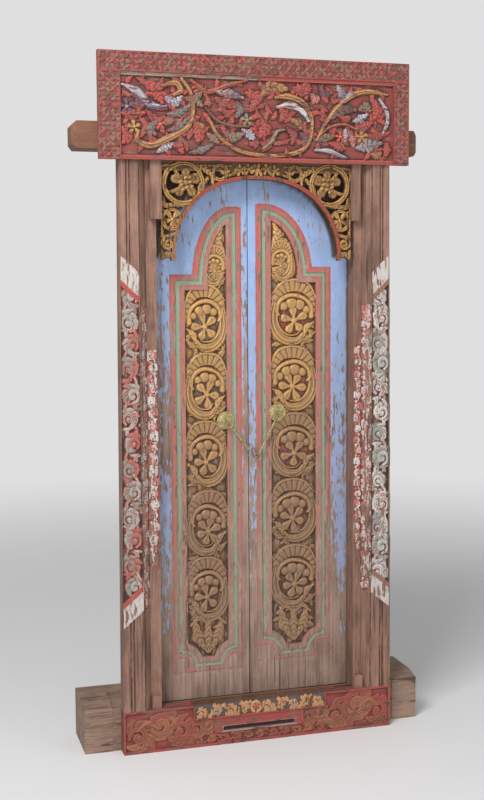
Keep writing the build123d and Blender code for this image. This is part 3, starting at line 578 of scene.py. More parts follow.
def door_leaf(side, label):
    """One leaf: plank, half-round hinge edge, pivots, drawn bands and carved field."""
    node = "leaf_" + label
    x0, x1, _, _, bottom, top = limits(node)
    p = PANELS[side]
    plank_front, plank_back = 100.0, 138.0
    plank_bottom, plank_top = 131.0, 1893.0
    edge_radius, axis_depth, pin_radius = 19.0, 119.0, 15.0
    axis_x = (x0 if side < 0 else x1) - side * edge_radius
    meeting = x1 if side < 0 else x0
    margin = BAND + 4
    a, b = sorted((axis_x, meeting))
    f0, f1 = sorted((p["near"] - side * margin, p["far"] + side * margin))
    xs = ticks(a, b, 2.25, (f0, f1), 5)
    zs = ticks(plank_bottom, plank_top, 2.25, (p["foot"] - margin, p["top"] + margin), 14)
    c = Carving(xs, zs, BLUE)
    depth = panel_depth(side, c.x, c.z)
    leaf_carving(side, c, depth)
    c.dirt_shade_and_ridge_highlight(rgb(44, 26, 18), 0.88, 2, 1.25, 0.5)
    inside = depth > BAND
    worn = step(1350, 500, c.z)
    red = mix(rgb(190, 96, 90), rgb(160, 114, 100), worn * 0.8)
    green = mix(rgb(132, 158, 134), rgb(130, 140, 116), worn * 0.6)
    plank = mix(BLUE, rgb(150, 156, 184), step(1500, 900, c.z) * 0.4)
    green_line = np.abs(depth + 0.5) < 6.5
    colour = plank
    for where, tone in ((depth > -RED_EDGE, red), (green_line, green),
                        ((depth > 5.5) & (depth < 8.5), red * 0.75),
                        ((depth < -6.5) & (depth > -9), green * 0.35),
                        (depth > 12, mix(red, rgb(168, 118, 100), 0.6)),
                        ((depth < -20) & (depth > -RED_EDGE), mix(red, RED, 0.45))):
        colour = np.where(where[..., None], tone, colour)
    # Painted shade: behind the arch board, outside its opening, the leaf turns dark brown, unpainted wood
    # darkened further as the board's shadow
    shade_behind_arch = step(2, 14, arch_edge(c.x, c.z)) * step(1596, 1610, c.z)
    c.paint(~inside, mix(colour, rgb(64, 48, 42), shade_behind_arch))
    line = -2.6 * np.exp(-((depth + 1) / 5.0) ** 4) - 1.2 * np.exp(-((depth + 26) / 2.0) ** 2)
    c.height = np.where(inside, c.height, line)
    c.gilt = np.where(inside, c.gilt, 0)
    # How much paint is gone: little at the top, nearly all at the foot
    wear = 0.15 + 0.51 * step(1560, 1000, c.z) + 0.34 * step(900, 300, c.z)
    if side > 0:
        outer = step(270, 290, c.x) * step(330, 700, c.z)
        meet = step(26, 10, c.x) * step(380, 900, c.z)
        low = step(296, 310, c.x) * step(240, 330, c.z) * step(900, 600, c.z)
        kept = 0.2 + 0.12 * step(320, 420, c.z) * step(1100, 800, c.z) - 0.12 * step(1560, 1700, c.z)
        wear = wear - kept * outer - 0.26 * meet - 0.22 * low
    else:
        wear = wear + 0.06 * step(1500, 1300, c.z) * step(-262, -280, c.x)
        wear = wear - 0.36 * step(-272, -290, c.x) * step(320, 400, c.z) * step(1000, 700, c.z)
        wear = wear + 0.30 * step(-30, -20, c.x) * step(1800, 1700, c.z)
    band = (depth > -RED_EDGE) & ~inside
    wear = np.where(band, 0.34 + 0.18 * step(1500, 400, c.z), wear)
    wear = np.where(green_line, wear - 0.16, wear)
    wear = np.where(inside, 0.10 + 0.10 * step(1300, 300, c.z), wear)
    turn = [k * math.pi / 8 for k in range(1, 8)]
    arc = [(axis_x + side * edge_radius * math.sin(t), axis_depth - edge_radius * math.cos(t)) for t in turn]
    far = [(axis_x, plank_back), (meeting, plank_back)]
    loop = arc + far if side > 0 else far[::-1] + arc[::-1]
    x, y = around(c.x, plank_front - c.height, loop)
    pin = rod_points((axis_x, axis_depth), pin_radius, bottom, top)
    loft_mesh(node + "_plank", x, y, zs, skin_layers(c, wear, len(loop)), leaf_paint,
              "leaf_" + label + "_body", [node], pin)


def skin_layers(c, wear, count):
    """A carving's values carried round its section, with bare wood on the back."""
    return {"colour": widen(c.colour, count), "wear": np.clip(widen(wear, count, 1.0), 0, 1),
            "gilt": widen(c.gilt, count)}


def rod_points(centre, radius, low, high):
    """Points and faces of an upright rod."""
    count = 32
    ring = [(centre[0] + radius * math.cos(2 * math.pi * k / count),
             centre[1] + radius * math.sin(2 * math.pi * k / count)) for k in range(count)]
    verts = [metres(x, y, z) for z in (low, high) for x, y in ring]
    faces = [[k, (k + 1) % count, count + (k + 1) % count, count + k] for k in range(count)]
    faces += [list(range(count))[::-1], list(range(count, 2 * count))]
    return verts, faces


for side, label in SIDES:
    door_leaf(side, label)


def board(name, nodes, c, front, back, wear, material):
    """A carved board: its front from a carving, its back flat."""
    loop = [(c.xs[-1], back), (c.xs[0], back)]
    x, y = around(c.x, front - c.height, loop)
    loft_mesh(name, x, y, c.zs, skin_layers(c, wear, len(loop)), material, "frame", nodes)


# Header panel: listed stems and leaves, each a line of x, z and width
STEMS = [
    (OCHRE, {"groove": 0.3}, ((-252, 2154, 12), (-222, 2110, 15), (-216, 2050, 18), (-236, 2006, 24),
        (-296, 1970, 28), (-352, 1948, 26), (-394, 1962, 20), (-390, 1990, 12))),
    (RED_DULL, {"groove": 0.3}, ((-222, 2150, 14), (-170, 2118, 20), (-100, 2140, 20), (-40, 2156, 8))),
    (OCHRE, {"groove": 0.3}, ((-166, 2034, 10), (-130, 1978, 14), (-60, 1936, 16), (40, 1924, 16),
        (130, 1938, 18), (170, 1975, 16), (178, 2040, 16), (150, 2092, 24), (100, 2112, 26),
        (56, 2108, 12))),
    (NIGHT, {}, ((-176, 2068, 8), (-140, 2030, 12), (-90, 2014, 13), (-34, 2014, 10))),
    (OCHRE, {"groove": 0.3}, ((194, 1978, 10), (226, 2032, 15), (268, 2086, 18), (322, 2126, 22),
        (376, 2138, 20), (440, 2130, 8))),
    (RED_DULL, {}, ((204, 1992, 9), (240, 2020, 12), (290, 2030, 12), (332, 2014, 8))),
    (PALE, {"groove": 0.3}, ((412, 2114, 10), (438, 2076, 18), (440, 2036, 17), (422, 2002, 8))),
    (PALE, {"tip": NAVY}, ((-440, 2130, 10), (-396, 2112, 34), (-352, 2072, 32), (-302, 2066, 12))),
    (OCHRE, {"groove": 0.3}, ((-298, 2136, 14), (-268, 2140, 24), (-254, 2118, 22), (-276, 2104, 12))),
    (SAGE, {}, ((12, 1944, 10), (44, 1972, 20), (62, 2002, 14), (88, 2008, 8))),
    (WHITE, {"tip": PALE}, ((62, 2078, 12), (106, 2086, 30), (146, 2068, 22), (168, 2038, 10))),
    (PALE, {"tip": NAVY}, ((190, 1946, 10), (240, 1944, 20), (284, 1926, 16), (302, 1924, 8))),
]
LEAVES = [
    (NAVY, NAVY, (((-404, 2104, 14), (-384, 2084, 24), (-376, 2068, 8)),
        ((140, 1998, 10), (158, 1984, 26), (152, 1962, 10)),
        ((206, 2150, 10), (222, 2126, 24), (244, 2128, 10)))),
    (RED, RED, (((-392, 2150, 8), (-340, 2126, 30), (-304, 2132, 12)),
        ((-360, 2106, 8), (-326, 2098, 28), (-314, 2078, 12)),
        ((-212, 2030, 8), (-196, 1990, 38), (-200, 1962, 16)),
        ((-444, 2042, 10), (-410, 2040, 32), (-372, 2046, 12)),
        ((-440, 2000, 12), (-426, 1972, 36), (-438, 1954, 14)),
        ((-282, 1950, 10), (-260, 1944, 28), (-252, 1928, 12)),
        ((-140, 2098, 12), (-118, 2084, 26), (-100, 2094, 12)),
        ((-40, 2118, 14), (-10, 2104, 38), (-16, 2078, 18)), ((10, 2040, 12), (20, 2008, 38), (4, 1984, 16)),
        ((70, 2076, 10), (84, 2056, 30), (74, 2036, 12)),
        ((128, 2132, 16), (156, 2138, 36), (160, 2108, 14)),
        ((330, 2018, 12), (360, 2028, 30), (384, 2038, 12)),
        ((398, 2108, 14), (404, 2076, 38), (396, 2054, 16)),
        ((440, 1972, 12), (440, 1952, 28), (436, 1936, 12)),
        ((240, 1968, 10), (262, 1962, 24), (280, 1948, 10)))),
    (PALE, PALE, (((-300, 2092, 18), (-272, 2082, 28), (-252, 2098, 14)),
        ((-330, 1928, 10), (-304, 1944, 28), (-282, 1954, 12)),
        ((-54, 2004, 10), (-34, 1992, 26), (-18, 1978, 18)),
        ((316, 2132, 12), (300, 2118, 20), (284, 2104, 10)),
        ((322, 2040, 10), (348, 2050, 26), (368, 2064, 10)),
        ((294, 2014, 10), (294, 1996, 20), (292, 1978, 10)))),
    (TEAL, TEAL, (((-296, 2044, 10), (-262, 2048, 22), (-226, 2072, 12)),
        ((-228, 1926, 8), (-190, 1936, 20), (-156, 1952, 10)),
        ((-70, 2086, 14), (-62, 2064, 24), (-74, 2044, 12)),
        ((-330, 2024, 10), (-352, 1998, 28), (-338, 1982, 12)))),
    (NAVY, TEAL, (((-294, 1994, 12), (-262, 2002, 28), (-228, 2036, 10)),)),
    (OCHRE, OCHRE, (((-204, 2020, 12), (-184, 2008, 18)), ((8, 2112, 14), (40, 2140, 36), (92, 2136, 18)),
        ((386, 1938, 12), (402, 1934, 24), (416, 1940, 12)),
        ((110, 2040, 10), (130, 2032, 26), (140, 2014, 12)))),
    (SAGE, SAGE, (((-190, 2112, 14), (-206, 2094, 28), (-188, 2074, 14)),
        ((-118, 1994, 10), (-84, 1980, 30), (-54, 1990, 12)),
        ((-170, 1988, 10), (-150, 1974, 24), (-136, 1962, 12)),
        ((346, 2080, 16), (366, 2086, 34), (378, 2076, 14)),
        ((190, 1976, 10), (222, 1986, 28), (250, 1992, 10)))),
    (WHITE, NAVY, (((-144, 2122, 10), (-98, 2114, 28), (-56, 2102, 14)),)),
    (PINK, PINK, (((176, 2120, 14), (190, 2108, 30), (184, 2096, 14)),
        ((306, 2006, 10), (318, 1984, 26), (322, 1962, 12)))),
    (PALE, NAVY, (((268, 2150, 12), (284, 2120, 28), (282, 2104, 10)),)),
    (SAGE, NIGHT, (((228, 2042, 10), (276, 2074, 36), (326, 2078, 14)),)),
    (RED_DULL, RED_DULL, (((372, 1996, 12), (400, 1992, 28), (424, 2002, 12)),
        ((-120, 2066, 10), (-100, 2052, 24), (-84, 2060, 10)),
        ((96, 2012, 10), (116, 1990, 26), (112, 1966, 10)))),
    (PALE, TEAL, (((334, 1956, 14), (376, 1966, 44), (416, 1974, 16)),)),
]
BUDS = [(-426, 2063, 19, NAVY), (-404, 2002, 16, OCHRE), (-322, 2012, 14, RED), (-40, 2034, 15, SAGE),
        (350, 1992, 16, OCHRE), (276, 1990, 13, RED)]


def header_panel():
    """The wide scroll board: loose leaves in the ground, then the placed stems and leaves."""
    x0, x1, front, back, bottom, top = limits("header_panel")
    ground = front + 10.0
    c = Carving(ticks(x0, x1, 2.3), ticks(bottom, top, 2.2), rgb(142, 58, 54))
    draw = np.random.default_rng(3)
    tones = (rgb(158, 62, 56), rgb(140, 56, 52), rgb(150, 76, 62), rgb(170, 66, 58))
    for _ in range(210):
        x, z = draw.uniform(x0 + 12, x1 - 12), draw.uniform(bottom + 24, top - 24)
        lean = draw.uniform(0, 2 * math.pi)
        long = draw.uniform(12, 20)
        dx, dz = long * math.cos(lean), long * math.sin(lean)
        c.stroke([(x - dx, z - dz), (x - dz * 0.25, z + dx * 0.25), (x + dx, z + dz)], [8, 19, 6], 5.0,
                 tones[draw.integers(4)], veins=3, lobes=2)
    for colour, how, line in STEMS:
        c.stroke([(x, z) for x, z, w in line], [w * 0.8 for x, z, w in line], 9.0,
                 mix(colour, rgb(120, 76, 62), 0.5), dome=0.75, **how)
        # A thin pale line set up and to the right along each stem: yellow edge paint, lightened as a painted
        # highlight
        c.stroke([(x + 1.5, z + 2.5) for x, z, w in line], [w * 0.18 for x, z, w in line], 10.0,
                 mix(colour, rgb(190, 134, 84), 0.5), dome=0.4)
    for colour, end, lines in LEAVES:
        tone, tip = mix(colour, rgb(126, 62, 56), 0.62), mix(end, rgb(96, 84, 86), 0.2)
        for line in lines:
            points = [(x, z) for x, z, w in line]
            c.stroke(points, [w * 1.25 for x, z, w in line], 8.4, tone, dome=0.8, veins=5, lobes=3, tip=tip)
            c.stroke(points, [w * 0.14 for x, z, w in line], 9.4, mix(tone, tip, 0.6), dome=0.5)
            x, z = points[-1]
            c.stroke([(x - 1, z), (x + 1, z)], [13, 13], 9.6, mix(tone, RED_DULL, 0.5), dome=0.9)
    for x, z, radius, colour in BUDS:
        c.bud(x, z, radius, 8.5, mix(colour, rgb(128, 66, 60), 0.25), 5, 0.4, core=OCHRE)
    strip = (c.z < bottom + 14) | (c.z > top - 12)
    c.height = np.minimum(np.where(strip, 6.0, c.height), 10.0)
    c.paint(strip, rgb(150, 66, 58))
    c.paint((c.z > top - 12) & (c.x < 0), rgb(126, 112, 100))
    c.dirt_shade_and_ridge_highlight(rgb(48, 22, 20), 0.95, 2, 1.5, 0.5)
    board("header_panel_carving", ["header_panel"], c, ground, back, np.full(c.x.shape, 0.26), board_paint)


def studded(node):
    """A header border of small overlapping leaves."""
    x0, x1, front, back, bottom, top = limits(node)
    c = Carving(ticks(x0, x1, 2.4), ticks(bottom, top, 2.4), rgb(144, 68, 62))
    draw = np.random.default_rng(len(node))
    pitch = 15.0
    tones = (rgb(160, 72, 66), rgb(128, 98, 82), rgb(142, 84, 74), rgb(118, 58, 52))
    for i in range(int((x1 - x0) / pitch) + 2):
        for k in range(int((top - bottom) / pitch) + 2):
            x, z = x0 + i * pitch + draw.uniform(-2, 2), bottom + k * pitch + draw.uniform(-2, 2)
            lean = math.radians(45 if (i + k) % 2 else -45) + draw.uniform(-0.3, 0.3)
            dx, dz = 9 * math.cos(lean), 9 * math.sin(lean)
            c.stroke([(x - dx, z - dz), (x + 2, z), (x + dx, z + dz)], [4, 12, 4], 3.0,
                     tones[draw.integers(4)], dome=0.85)
    rim = c.from_edge() < 4
    c.height = np.where(rim, 2.4, np.minimum(c.height, 3.0))
    c.paint(rim, rgb(150, 60, 56))
    c.dirt_shade_and_ridge_highlight(rgb(52, 26, 24), 0.7, 1, 1.2, 0.3)
    board(node + "_carving", [node], c, front + 3.0, back, np.full(c.x.shape, 0.3), board_paint)


def polar(point, radius, angle):
    """A point at a distance and angle from another."""
    return (point[0] + radius * math.cos(angle), point[1] + radius * math.sin(angle))


def spiral(centre, radius, start, turns, end, hand=1):
    """Points winding in towards a centre."""
    count = int(turns * 10) + 2
    points = []
    for k in range(count):
        share = k / (count - 1)
        angle = start + hand * share * turns * 2 * math.pi
        reach = radius * (1 - (1 - end) * share)
        points.append(polar(centre, reach, angle))
    return points


def carved_strip(c, x0, x1, z0, z1, colours, height, draw, size, edge=None, leaves=7, fill=0.36, reach=1.0):
    """Fills a strip with curls turning left and right, each with leaves that sweep round it."""
    def curl(points, widths, share, colour, **how):
        if edge is not None:
            c.stroke(points, [w + 3.6 for w in widths], height * share * 0.84, edge)
        c.stroke(points, widths, height * share, colour, **how)
        if edge is not None:
            line = edge if draw.random() < 0.35 else colour * 0.72
            c.stroke(points, [w * 0.2 + 1.2 for w in widths], height * share * 1.02, line, dome=0.1)

    def kept(point):
        return (min(max(point[0], x0 + 2), x1 - 2), min(max(point[1], z0 + 2), z1 - 2))

    def place(along, over):
        return (x0 + over, z0 + along) if upward else (x0 + along, z0 + over)

    upward = (z1 - z0) > (x1 - x0)
    span, across = ((z1 - z0), (x1 - x0)) if upward else ((x1 - x0), (z1 - z0))
    count = max(1, round(span / size))
    pitch = span / count
    ahead = math.pi / 2 if upward else 0.0
    spots = []
    for k in range(count):
        along = (k + 0.5 + draw.uniform(-0.08, 0.08)) * pitch
        spots.append(place(along, across * (0.62 if k % 2 else 0.38)))
    for k, (a, b) in enumerate(zip(spots, spots[1:])):
        swing = across * (0.3 if k % 2 else -0.3)
        bow = ((a[0] + b[0]) / 2 + swing * upward, (a[1] + b[1]) / 2 + swing * (not upward))
        curl([a, kept(bow), b], [across * 0.12] * 3, 0.7, colours[k % len(colours)])
    for k, spot in enumerate(spots):
        hand = 1 if k % 2 else -1
        radius = min(across * fill, size * 0.44) * draw.uniform(0.8, 1.08)
        first = ahead + math.pi + hand * draw.uniform(-0.2, 0.7)
        tone, after, last = (colours[(k + n) % len(colours)] for n in range(3))
        for j in range(leaves):
            share = j / (leaves - 1)
            angle = first + hand * (0.5 + 4.4 * share)
            start = polar(spot, radius * 0.8, angle)
            long = reach * radius * (1.15 - 0.4 * share) * draw.uniform(0.85, 1.2)
            middle = polar(start, 0.6 * long, angle + hand * 0.9)
            tip = kept(polar(middle, 0.8 * long, angle + hand * draw.uniform(1.5, 2.1)))
            curl([start, middle, tip], [radius * 0.5, radius * 0.86, radius * 0.4], 0.6 + 0.25 * share,
                 colours[(k + j // 3) % len(colours)], groove=0.35)
        path = spiral(spot, radius, first, 1.15, 0.22, hand)
        wide = [radius * (0.34 + 0.3 * math.sin(math.pi * i / len(path))) for i in range(len(path))]
        curl(path, wide, 1.0, tone, groove=0.4)
        c.stroke([(spot[0] - 1, spot[1]), (spot[0] + 1, spot[1])], [radius * 0.42] * 2, height, after,
                 dome=0.9)
        between = (spot[0] - hand * across * 0.34, spot[1] + pitch / 2) if upward else \
            (spot[0] + pitch / 2, spot[1] + hand * across * 0.34)
        for turn in (-1, 1):
            way = ahead + turn * draw.uniform(0.3, 0.6)
            root, mid = kept(polar(between, -radius * 0.5, way)), kept(polar(between, radius * 0.3, way))
            tip = kept(polar(mid, radius * 0.6, way + turn))
            curl([root, mid, tip], [radius * 0.3, radius * 0.7, radius * 0.3], 0.6, last)


def apron():
    """The red board before the sill: scrolls in dull gold, a plain tray with a slot, and a seat."""
    x0, x1, front, back, bottom, top = limits("apron_board")
    t0, t1, _, _, seat, _ = limits("threshold_carving")
    tray0, tray1, rim, relief = -160, 150, 9.0, 5.0
    seat_depth = 45.4
    dull, gold = rgb(140, 80, 58), rgb(156, 98, 68)
    colours = (dull, gold, rgb(152, 74, 60), dull)
    c = Carving(ticks(x0, x1, 2.4), ticks(bottom, top, 2.3), rgb(152, 62, 58))
    draw = np.random.default_rng(5)
    for a, b in ((x0 + rim, t0 - 4), (t1 + 4, x1 - rim)):
        carved_strip(c, a, b, bottom + rim, top - rim, colours, relief, draw, 84, None, 6, 0.34)
    carved_strip(c, t0 - 4, t1 + 4, bottom + 6, bottom + 42, colours, relief, draw, 42)
    for a, b in ((t0 - 2, tray0), (tray1, t1 + 2)):
        carved_strip(c, a, b, bottom + 40, seat - 2, colours, relief, draw, 44)
    for middle in (-385, 385):
        c.stroke([(middle - 34, 78), (middle, 100), (middle + 34, 78)], [10, 16, 10], relief, gold)
    tray = (c.x > tray0) & (c.x < tray1) & (c.z > 40) & (c.z < seat)
    flat = (c.from_edge() < rim - 2) | tray
    c.height = np.where(flat, relief, np.minimum(c.height, relief))
    c.paint(flat, rgb(160, 66, 62))
    along = np.abs(c.x + 5) < 130
    c.paint(along & ((np.abs(c.z - 60.5) < 2) | (np.abs(c.z - 45) < 2)), rgb(140, 132, 124))
    slot = (c.x > -128) & (c.x < 117) & (c.z > 46) & (c.z < 60)
    c.height = np.where(slot, -3.0, c.height)
    c.paint(slot, rgb(34, 28, 28))
    c.dirt_shade_and_ridge_highlight(rgb(60, 26, 22), 0.7, 2, 1.4, 0.32)
    notch = (c.x > t0 + 0.5) & (c.x < t1 - 0.5) & (c.z > seat + 0.5)
    c.height = np.where(notch, -seat_depth, c.height)
    wear = np.where(slot, 0.0, 0.26 + 0.2 * step(top - 8, top, c.z) + 0.16 * step(12, 0, c.z))
    board("apron_carving", ["apron_board"], c, front + relief, back, wear, board_paint)


def threshold():
    """The gilded block let into the apron, with its upper edge rounded over."""
    x0, x1, front, back, bottom, top = limits("threshold_carving")
    relief, nose, margin = 2.0, 10.0, 3
    flower_x, flower_z = -18.0, bottom + 24
    c = Carving(ticks(x0, x1, 2.0), ticks(bottom, top, 1.8), rgb(84, 84, 88))
    gold, pale = rgb(196, 146, 102), rgb(188, 146, 112)
    draw = np.random.default_rng(2)
    for a, b, colours in ((x0 + 6, flower_x - 18, (gold, pale, gold)),
                          (flower_x + 18, x1 - 6, (gold, gold, pale))):
        carved_strip(c, a, b, bottom + margin, top - 4, colours, relief, draw, 46, None, 5, 0.42, 0.55)
    c.stroke(spiral((flower_x, flower_z), 17, 0, 1.02, 0.98), [9] * 12, relief, gold)
    c.bud(flower_x, flower_z, 11, relief, rgb(186, 106, 76), 5)
    border = (c.z < bottom + margin) | (c.x < x0 + margin) | (c.x > x1 - margin)
    c.paint(border, rgb(170, 84, 62))
    c.height = np.where(border, 1.6, c.height)
    c.dirt_shade_and_ridge_highlight(rgb(70, 40, 26), 0.7, 2, 0.9, 0.3)
    over = np.clip(c.z - (top - nose), 0, nose)
    c.height -= nose - np.sqrt(np.clip(nose**2 - over**2, 0, None))
    c.gilt[:] = 0.35
    board("threshold_relief", ["threshold_carving"], c, front + relief, back, np.full(c.x.shape, 0.22),
          gilt_paint)


def jamb(side, label):
    """A moulded jamb with its carved bands: the broad one on the face, a narrow one on the splay."""
    node = "jamb_" + label
    back, bottom, top = limits(node)[3:]
    inner, splay, outer, taper, splay_depth = 366.0, 391.0, 464.0, 12.0, 28
    high, low, slant = 1612.0, 415.0, 60.0  # ends of the broad band at the splay, and their slope
    narrow_low, narrow_high = 475, 1450
    face_relief, splay_relief = 6.0, 3.4
    left = side < 0
    zs = ticks(bottom, top, 2.6, (400, 1640), 16)
    c = Carving(ticks(inner, outer, 2.2), zs, rgb(132, 92, 76))
    draw = np.random.default_rng(11 + side)
    colours = (rgb(178, 172, 162), rgb(138, 148, 140), rgb(176, 108, 96), rgb(160, 166, 158)) if left else \
        (WHITE, rgb(184, 190, 182), rgb(150, 160, 152), WHITE)
    rim = rgb(166, 70, 60) if left else rgb(150, 112, 104)
    carved_strip(c, splay + 3, outer - 3, low + 92, high - 92, colours, 5.9, draw, 78, rim, 6, 0.36)
    leaves = (rgb(196, 176, 170), rgb(178, 108, 98), rgb(196, 186, 178))
    carved_strip(c, inner + 2, splay, narrow_low + 3, narrow_high - 2, leaves, splay_relief, draw, 28,
                 None, 5, 0.42)
    rise = (c.x - splay) * slant / (outer - splay)
    below, above = high - slant - (c.z - rise), c.z + rise - low - slant
    face = (c.x > splay + 2.5) & (c.x < outer - 4)
    zone = (below > 0) & (above > 0) & (c.x > splay)
    field = (below > 96) & (above > 84) & face
    border = zone & ~field & face
    red_line = border & (below > 76) & (above > 64)
    c.paint(field & (c.height < 0.5), rgb(50, 48, 44))
    c.height = np.where(field, np.minimum(c.height, face_relief) - face_relief, c.height)
    c.height = np.where(border, 0.0, c.height)
    c.paint(border, WHITE * 0.92)
    c.paint(red_line, rgb(172, 66, 56) if left else rgb(142, 98, 78))
    narrow = (c.x <= splay) & (c.z < narrow_high) & (c.z > narrow_low)
    c.paint(narrow & (c.height < 0.3), rgb(162, 58, 50))
    c.height = np.where(narrow, np.minimum(c.height, splay_relief) - splay_relief, c.height)
    plain = ~zone & (c.x > splay)
    sunk = np.zeros(c.x.shape)
    for middle in (425.75, 436.95):
        sunk = np.maximum(sunk, np.where(plain, np.exp(-((c.x - middle) / 1.8) ** 4) * 4.8, 0))
    c.height = np.where(plain, -sunk, c.height)
    bare = ~zone & ~narrow
    c.paint(bare, rgb(134, 92, 76))
    c.dirt_shade_and_ridge_highlight(rgb(38, 26, 22), 0.85, 2, 1.5, 0.35)
    # Painted shade: the flute grooves and the crease where the face meets the splay are painted dark brown
    dark = (sunk > 1.2) | (bare & (np.abs(c.x - splay) < 3))
    c.paint(dark, rgb(66, 44, 36))
    wear = np.where(zone, 0.34, np.where(narrow, 0.42, 0.95))
    for where, value in ((border & ~red_line, 0.36), (zone & ~border & ~field, 0.95), (field, 0.24),
                         (dark, 0.25)):
        wear = np.where(where, value, wear)
    widths = outer - taper * (zs - bottom) / (top - bottom)
    x = np.where(c.x > splay, splay + (c.x - splay) * (widths[:, None] - splay) / (outer - splay), c.x)
    depth = np.where(c.x < splay, (splay - c.x) * splay_depth / (splay - inner), 0.0) - c.height
    back_x = np.stack([widths, np.full(len(zs), inner)], 1)
    fx = np.concatenate([x, back_x], 1) * side
    fy = np.concatenate([depth, np.full(back_x.shape, back)], 1)
    layers = {"colour": widen(c.colour, 2), "wear": widen(wear, 2), "gilt": widen(c.gilt, 2)}
    if left:
        fx, fy = fx[:, ::-1], fy[:, ::-1]
        layers = {key: layer[:, ::-1] for key, layer in layers.items()}
    loft_mesh(node + "_carving", fx, fy, zs, layers, carved_paint, "frame", [node])


def nose_carving(side, label):
    """The narrow carved band on the front of a post."""
    low, high, relief, nose_face = 600, 1312, 3.2, 30.0
    a, b = sorted((-331.5 if side < 0 else 339.5, side * 365.5))
    c = Carving(ticks(a, b, 2.0), ticks(low, high, 2.3), rgb(146, 54, 48))
    draw = np.random.default_rng(7 + side)
    tones = (rgb(196, 176, 170), rgb(180, 108, 98), WHITE)
    carved_strip(c, a + 2, b - 2, low + 4, high - 4, tones, relief, draw, 38, None, 6, 0.4)
    c.height = np.minimum(c.height, relief) + 0.8
    c.dirt_shade_and_ridge_highlight(rgb(60, 28, 24), 0.7, 2, 1.4, 0.3)
    wear = 0.3 + 0.3 * step(760, low, c.z)
    board("nose_carving_" + label, [], c, nose_face, nose_face + 1, wear, carved_paint)


def fret_strokes(c, side):
    """Scrolls of one half of the arch board."""
    gold, dim = mix(GOLD, GOLD_DARK, 0.3), mix(GOLD, GOLD_DARK, 0.55)

    def at(x, z):
        return (ARCH_MIDDLE + side * x, z)

    def leaf(points, widths, height=8, tone=dim, **how):
        c.stroke([at(x, z) for x, z in points], widths, height, tone, gilt=0.9, **how)

    def ring(x, z, radius, wide, start, turns=1.02, end=0.97):
        path = spiral(at(x, z), radius, math.pi / 2 - side * start, turns, end, -side)
        c.stroke(path, [wide * (1 - 0.25 * i / len(path)) for i in range(len(path))], 9, gold, groove=0.35,
                 gilt=0.9)

    ring(246, 1836, 63, 17, 0.2, 1.0, 1.0)
    c.bud(*at(238, 1838), 36, 7.4, dim, 5, 0.3, gilt=0.9)
    for k in range(9):
        x, z = at(*polar((240, 1836), 15 + 9 * (k % 2), 0.2 + k * 0.7))
        c.stroke([(x - 2, z), (x + 3, z + 3)], [14 - k % 3 * 2, 12], 9.2, gold, dome=0.85, gilt=0.9)
    for k in range(4):
        angle = 0.6 + k * math.pi / 2
        leaf([(238 + 20 * math.cos(angle), 1838 + 20 * math.sin(angle)),
              (240 + 46 * math.cos(angle + 0.3), 1837 + 42 * math.sin(angle + 0.3)),
              (243 + 62 * math.cos(angle + 0.5), 1836 + 60 * math.sin(angle + 0.5))], [16, 14, 6], veins=3)
    ring(284, 1722, 31, 13, 1.2)
    c.bud(*at(283, 1722), 22, 8.5, gold, 5, 0.9, gilt=0.9)
    leaf([(284, 1722), (270, 1700), (262, 1690)], [12, 10, 6])
    leaf([(290, 1730), (304, 1744), (312, 1752)], [12, 10, 6])
    ring(298, 1646, 19, 11, 0.5, 1.5, 0.2)
    leaf([(318, 1690), (312, 1668), (276, 1676)], [12, 14, 12], veins=4)
    leaf([(320, 1604), (298, 1612), (274, 1604)], [16, 20, 16], veins=5)
    leaf([(318, 1622), (314, 1600)], [12, 12])
    leaf([(314, 1790), (306, 1766), (270, 1768), (250, 1766)], [16, 18, 16, 10], veins=5)
    leaf([(318, 1760), (317, 1720), (318, 1690)], [7, 6, 7], 7)
    leaf([(318, 1888), (300, 1892), (270, 1894)], [10, 12, 8])
    leaf([(318, 1892), (318, 1860), (314, 1840)], [10, 8, 8], 7)
    ring(126, 1872, 24, 13, 2.4, 0.9, 0.9)
    leaf([(126, 1878), (112, 1872), (96, 1876)], [8, 16, 10], tone=gold, veins=3)
    leaf([(188, 1884), (170, 1878), (150, 1860), (150, 1838)], [16, 22, 18, 10], tone=gold, veins=5)
    leaf([(196, 1802), (186, 1830), (166, 1852)], [12, 20, 12], veins=4)
    leaf([(200, 1892), (160, 1893), (90, 1893)], [9, 8, 9], veins=8)
    for x, z in ((58, 1880), (30, 1884)):
        c.bud(*at(x, z), 15, 8.5, gold, 5, 0.5, gilt=0.9)
    leaf([(96, 1862), (76, 1872), (70, 1890)], [10, 16, 8], veins=3)
    leaf([(44, 1868), (44, 1890)], [10, 10])


